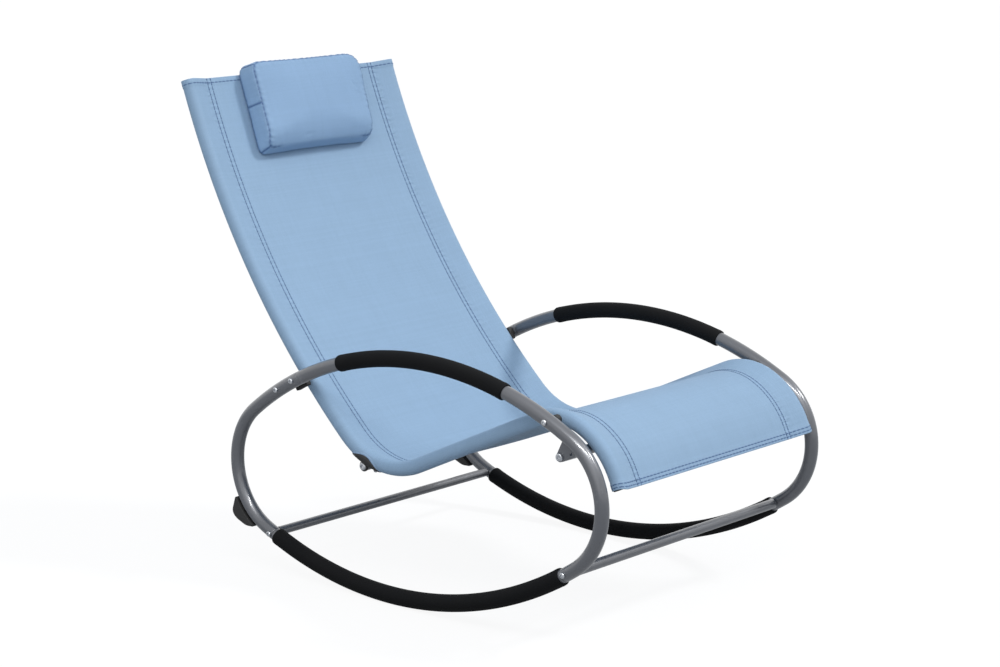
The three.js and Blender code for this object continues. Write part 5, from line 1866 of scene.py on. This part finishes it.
    def simulate(self, skin: Piece) -> None:
        """Runs the cloth for its frames, with air pressure inside it and no gravity."""
        cloth = skin.modifiers.new("Cloth", "CLOTH")
        cloth.settings.quality = 6
        cloth.settings.use_pressure = True
        cloth.settings.uniform_pressure_force = self.pressure
        cloth.settings.tension_stiffness = cloth.settings.compression_stiffness = 12.0
        cloth.settings.bending_stiffness = 0.6
        cloth.settings.vertex_group_mass = "seam"
        cloth.settings.effector_weights.gravity = 0.0
        cloth.point_cache.frame_start, cloth.point_cache.frame_end = 1, self.frames
        for number in range(1, self.frames + 1):
            bpy.context.scene.frame_set(number)

    @staticmethod
    def surface_of(mesh: bpy.types.Mesh) -> BVHTree:
        """The mesh's surface, ready to be searched for the spots nearest to points."""
        return BVHTree.FromPolygons([v.co for v in mesh.vertices], [p.vertices for p in mesh.polygons])

    @staticmethod
    def laid_on(surface: BVHTree, points: Array) -> tuple[Array, Array]:
        """The spots of a surface nearest to points, and the normals there."""
        hits = [surface.find_nearest(Vector(point)) for point in points]
        return np.array([hit[0] for hit in hits]), np.array([hit[1] for hit in hits])

    @staticmethod
    def distance_to(points: Array, line: Array) -> tuple[Array, Array]:
        """Each point's distance to a densely divided line, and how far along it the nearest spot is.

        Args:
            points: The points.
            line: The line's points.

        Returns:
            The distances and the lengths along the line.
        """
        closed = np.linalg.norm(line[0] - line[-1]) < 0.012
        dense, marks = spaced(line, 0.0018, closed)
        nearest, gap, batch = np.empty(len(points), int), np.empty(len(points)), 4000
        for first in range(0, len(points), batch):
            part = slice(first, first + batch)
            square = np.sum((points[part, None] - dense[None]) ** 2, axis=2)
            nearest[part] = np.argmin(square, axis=1)
            gap[part] = np.sqrt(np.min(square, axis=1))
        return gap, marks[nearest]

    def sewn_share(self, points: Array) -> Array:
        """1 where the front edge is sewn, and 0 along the lower edge, where the front panel rolls under."""
        return 1 - eased((self.open_half - np.abs(points[:, 0])) / 0.02) * (points[:, 1] > self.cross_seam)

    def sew_in(self, mesh: bpy.types.Mesh) -> None:
        """Sinks each seam into the skin and gathers the cloth beside it.

        The skin moves inwards by a bell curve of the distance to the seam, and in and out by a
        wave along the seam that fades over a wider bell.
        """
        surface = self.surface_of(mesh)
        points, outward = coordinates(mesh), read(mesh.vertices, "normal", 3)
        move = np.zeros(len(points))
        crease = np.zeros(len(points))
        for name, line in self.seam_lines().items():
            gap, along = self.distance_to(points, self.laid_on(surface, line)[0])
            deep, wide = self.front_pucker if name == "front" else self.other_pucker
            wave = np.sin(2 * math.pi * along / self.pucker_pitch + 1.9 * np.sin(along * 71.0))
            inner = self.sewn_share(points) if name == "front" else 1.0
            move += (-deep * bell(gap, 0.0026) + wide * wave * bell(gap - 0.004, 0.006)) * inner
            beat = 0.72 + 0.28 * np.sin(2 * math.pi * along / self.stitch_beat) if name == "front" else 1.0
            crease = np.maximum(crease, bell(gap, 0.0019) * beat * inner)
        share, above = np.linspace(0, 1, 12)[:, None], 0.05
        for start, stop in self.creases:
            flat = np.array([[*start, above]]) * (1 - share) + np.array([[*stop, above]]) * share
            gap, along = self.distance_to(points, self.laid_on(surface, flat)[0])
            fade = np.sin(math.pi * np.clip(along / max(along.max(), 1e-6), 0, 1))
            move -= self.crease_depth * bell(gap, 0.0032) * fade
        # The crease values mark the seams for the material, which darkens them: the thread's own colour and
        # painted shade of the sunken seam.
        mark(mesh, "crease", crease)
        place_points(mesh, points + outward * (move * (points[:, 2] > self.seat + 0.0015))[:, None])

    def cloth_map(self, mesh: bpy.types.Mesh) -> None:
        """Lays the weave on the skin from the side that each face looks to, in metres."""
        axis = np.argmax(np.abs(read(mesh.polygons, "normal", 3)) * np.array([1.0, 1.0, 1.15]), axis=1)
        looks = np.repeat(axis, read(mesh.polygons, "loop_total", kind=np.int64))[:, None]
        spot = coordinates(mesh)[corner_points(mesh)]
        beside = np.where(looks == 0, spot[:, [2, 1]], spot[:, [0, 2]])
        lay_cloth(mesh, np.where(looks == 2, spot[:, :2], beside))

    def bend(self, flat: Array) -> Array:
        """Lays flat points on the backrest, down along the rail's path and out of it square to the path."""
        y, z = self.route.offset(flat[:, 1], -flat[:, 2])
        return np.column_stack([flat[:, 0], y, z])

    def stitches(self, mesh: bpy.types.Mesh) -> Piece:
        """A row of stitches behind the front edge and tight ones along the other seams."""
        surface = self.surface_of(mesh)
        spots, forward, outward = [], [], []
        for name, line in self.seam_lines().items():
            if name == "back":
                continue
            closed = name == "front"
            pitch = self.stitching.pitch if closed else self.tight_pitch
            moved = line + np.array([0.0, 0.0, -0.0018]) if closed else line[2:-2]
            marks, _ = spaced(moved, pitch, closed)
            marks = marks[self.sewn_share(marks) > 0.5] if closed else marks
            place, normal = self.laid_on(surface, marks)
            ahead = np.gradient(place, axis=0)
            spots.append(self.bend(place + normal * 0.0001))
            forward.append(self.bend(place + ahead * 0.01) - self.bend(place))
            outward.append(self.bend(place + normal * 0.001) - self.bend(place))
        return self.stitching.sew("pillow_stitches", np.vstack(spots), np.vstack(forward), np.vstack(outward))

    def cushion(self) -> None:
        """Makes the cushion and its stitches."""
        mesh = self.inflate(self.form())
        self.sew_in(mesh)
        self.cloth_map(mesh)
        threads = self.stitches(mesh)
        place_points(mesh, self.bend(coordinates(mesh)))
        tidy(mesh, 1e-7)
        skin = link("pillow_cushion", mesh, 70.0)
        dress(skin, PILLOW_MESH, "pillow", body=PILLOW_BODY)
        dress(threads, THREAD, body=PILLOW_BODY)

    def flap(self) -> None:
        """The strip from the cushion over the top hem and down behind it.

        It lies along the path square to the backrest's top end: a short front, a round turn over
        the hem, and a hanging tail with a shallow wave across it.
        """
        half, long, hem = self.flap_half, self.flap_length, 0.0016
        angle = np.linspace(math.pi, 0.0, 9)
        over = np.column_stack([-0.0012 - 0.0009 * np.sin(angle), 0.0001 + hem * np.cos(angle)])
        tail = np.column_stack([np.linspace(0.004, long, 34), np.full(34, hem + 0.0001)])
        line = np.vstack([[[0.0, -hem + 0.0001]], over, tail])
        across = np.linspace(-half, half, 61)
        down = line[:, :1] + 0 * across
        hang = eased(line[:, :1] / long)
        wave = 0.0012 + 0.0011 * np.sin(across * 55.0) + 0.0006 * np.sin(across * 131.0 + 1.0)
        behind = line[:, 1:] + hang * wave
        y0, z0, heading = self.route.at(0.0)
        y = y0 + down * math.cos(heading) - behind * math.sin(heading)
        z = z0 + down * math.sin(heading) + behind * math.cos(heading)
        points = np.stack([across + 0 * down, y, z], -1).reshape(-1, 3)
        cloth = np.stack([across + 0 * down, down], -1).reshape(-1, 2)
        shape = Shape(points, grid_faces(len(line), len(across)), cloth)
        piece = shape.piece("pillow_flap_cloth", sharp=70.0)
        solid = piece.modifiers.new("thickness", "SOLIDIFY")
        solid.thickness, solid.offset = self.flap_thickness, 0.0
        dress(piece, PILLOW_MESH, "pillow_flap", body=PILLOW_BODY)

    def build(self) -> None:
        """Makes the cushion and its flap."""
        self.cushion()
        self.flap()


# Studio


@dataclass
class Studio:
    """White floor and background, soft lamps and the camera at the photograph's angle."""

    lens: float = 89.5
    sensor: float = 36.0
    position: Colour = (-3.2378, -2.8863, 1.3034)
    azimuth: float = math.radians(-48.5)
    elevation: float = math.radians(11.45)
    sky: float = 0.5
    glow: float = 1.26
    aim: Colour = (0.0, 0.0, 0.35)

    def floor(self) -> None:
        """A wide pale floor that looks white where it is lit and keeps the chair's shadow."""
        half = 14.0
        corners = np.array([(-half, -half, 0), (half, -half, 0), (half, half, 0), (-half, half, 0)], float)
        piece = link("studio_floor", Shape(corners, np.array([[0, 1, 2, 3]])).mesh("studio_floor"))
        made = bpy.data.materials.new("studio_floor")
        made.use_nodes = True
        tree = made.node_tree
        shader = tree.nodes["Principled BSDF"]
        pale = (0.42, 0.42, 0.42, 1.0)
        wire(tree, shader, {"Base Color": pale, "Roughness": 0.9, "Specular IOR Level": 0.1})
        glow = put(tree, "ShaderNodeEmission", {"Color": (1, 1, 1, 1), "Strength": self.glow})
        rays = put(tree, "ShaderNodeLightPath")
        seen = calc(tree, "MULTIPLY", rays.outputs["Is Camera Ray"], 0.72)
        seen = calc(tree, "MULTIPLY_ADD", rays.outputs["Is Glossy Ray"], 0.2, seen)
        mix = put(tree, "ShaderNodeMixShader", {0: seen, 1: shader.outputs[0], 2: glow.outputs[0]})
        tree.links.new(mix.outputs[0], tree.nodes["Material Output"].inputs["Surface"])
        piece.data.materials.append(made)

    def world(self) -> None:
        """An even sky that lights softly and looks white to the camera and in reflections."""
        world = bpy.data.worlds.new("studio")
        bpy.context.scene.world = world
        world.use_nodes = True
        tree = world.node_tree
        soft = tree.nodes["Background"]
        wire(tree, soft, {"Color": (0.84, 0.94, 1.08, 1.0), "Strength": self.sky})
        white = put(tree, "ShaderNodeBackground", {"Color": (1, 1, 1, 1), "Strength": 1.0})
        rays = put(tree, "ShaderNodeLightPath")
        seen = calc(tree, "MAXIMUM", rays.outputs["Is Camera Ray"], rays.outputs["Is Glossy Ray"])
        seen = calc(tree, "MAXIMUM", seen, rays.outputs["Is Transmission Ray"])
        mix = put(tree, "ShaderNodeMixShader", {0: seen, 1: soft.outputs[0], 2: white.outputs[0]})
        tree.links.new(mix.outputs[0], tree.nodes["World Output"].inputs["Surface"])

    @staticmethod
    def lamp(name: str, kind: str, towards: Vector) -> Piece:
        """A lamp of a kind that shines from the given direction."""
        made = add(name, bpy.data.lights.new(name, kind))
        made.rotation_mode = "QUATERNION"
        made.rotation_quaternion = towards.to_track_quat("Z", "Y")
        return made

    def sun(self, name: str, towards: Colour, strength: float, spread: float) -> None:
        """A lamp of parallel light with soft shadows.

        Args:
            name: The lamp's name.
            towards: Direction from the chair to the lamp.
            strength: Its irradiance.
            spread: Its apparent width, in degrees.
        """
        data = self.lamp(name, "SUN", Vector(towards)).data
        data.energy, data.angle = strength, math.radians(spread)

    def panel(
        self, name: str, place: Colour, size: tuple[float, float], power: float, soft: bool = True
    ) -> None:
        """A softbox aimed at the middle of the chair, or a strip that only shows in reflections.

        Args:
            name: The lamp's name.
            place: Its middle.
            size: Its width and height.
            power: Its power.
            soft: Whether it also lights matte surfaces.
        """
        lamp = self.lamp(name, "AREA", Vector(place) - Vector(self.aim))
        lamp.location, lamp.visible_diffuse, data = place, soft, lamp.data
        data.shape, data.size, data.size_y, data.energy = "RECTANGLE", size[0], size[1], power

    def camera(self) -> None:
        """The camera, upright, at the photograph's angle and distance."""
        a, e = self.azimuth, self.elevation
        back = Vector((math.sin(a) * math.cos(e), -math.cos(a) * math.cos(e), math.sin(e)))
        right = Vector((math.cos(a), math.sin(a), 0.0))
        up = back.cross(right)
        data = bpy.data.cameras.new("camera")
        data.lens, data.sensor_width, data.sensor_fit = self.lens, self.sensor, "HORIZONTAL"
        made = add("camera", data)
        turn = Matrix((right, up, back)).transposed().to_4x4()
        made.matrix_world = Matrix.Translation(self.position) @ turn
        bpy.context.scene.camera = made

    def build(self) -> None:
        """Sets the stage, the lamps and the camera."""
        bpy.context.scene.view_settings.view_transform = "Standard"
        self.camera()
        self.floor()
        self.world()
        self.sun("key", (0.48, -0.5, 0.72), 1.45, 11.0)
        self.sun("fill", (-0.75, -0.4, 0.5), 0.4, 60.0)
        self.panel("softbox", (-1.5, -1.2, 2.6), (2.4, 0.6), 20.0)
        self.panel("strip", (-1.1, -1.6, 2.7), (2.6, 0.08), 60.0, soft=False)


def main() -> None:
    """Builds the chair and its studio."""
    paths = Paths()
    hoop = paths.hoop()
    rail = paths.rail(hoop)
    Studio().build()
    for hand in SIDES:
        Hoop(paths, hoop, hand).build()
        Rail(paths, rail, hand).build()
    Bars().build()
    Fasteners().build()
    Sling(paths, rail).build()
    Pillow(rail).build()
    bpy.context.view_layer.update()


if __name__ == "__main__":
    main()
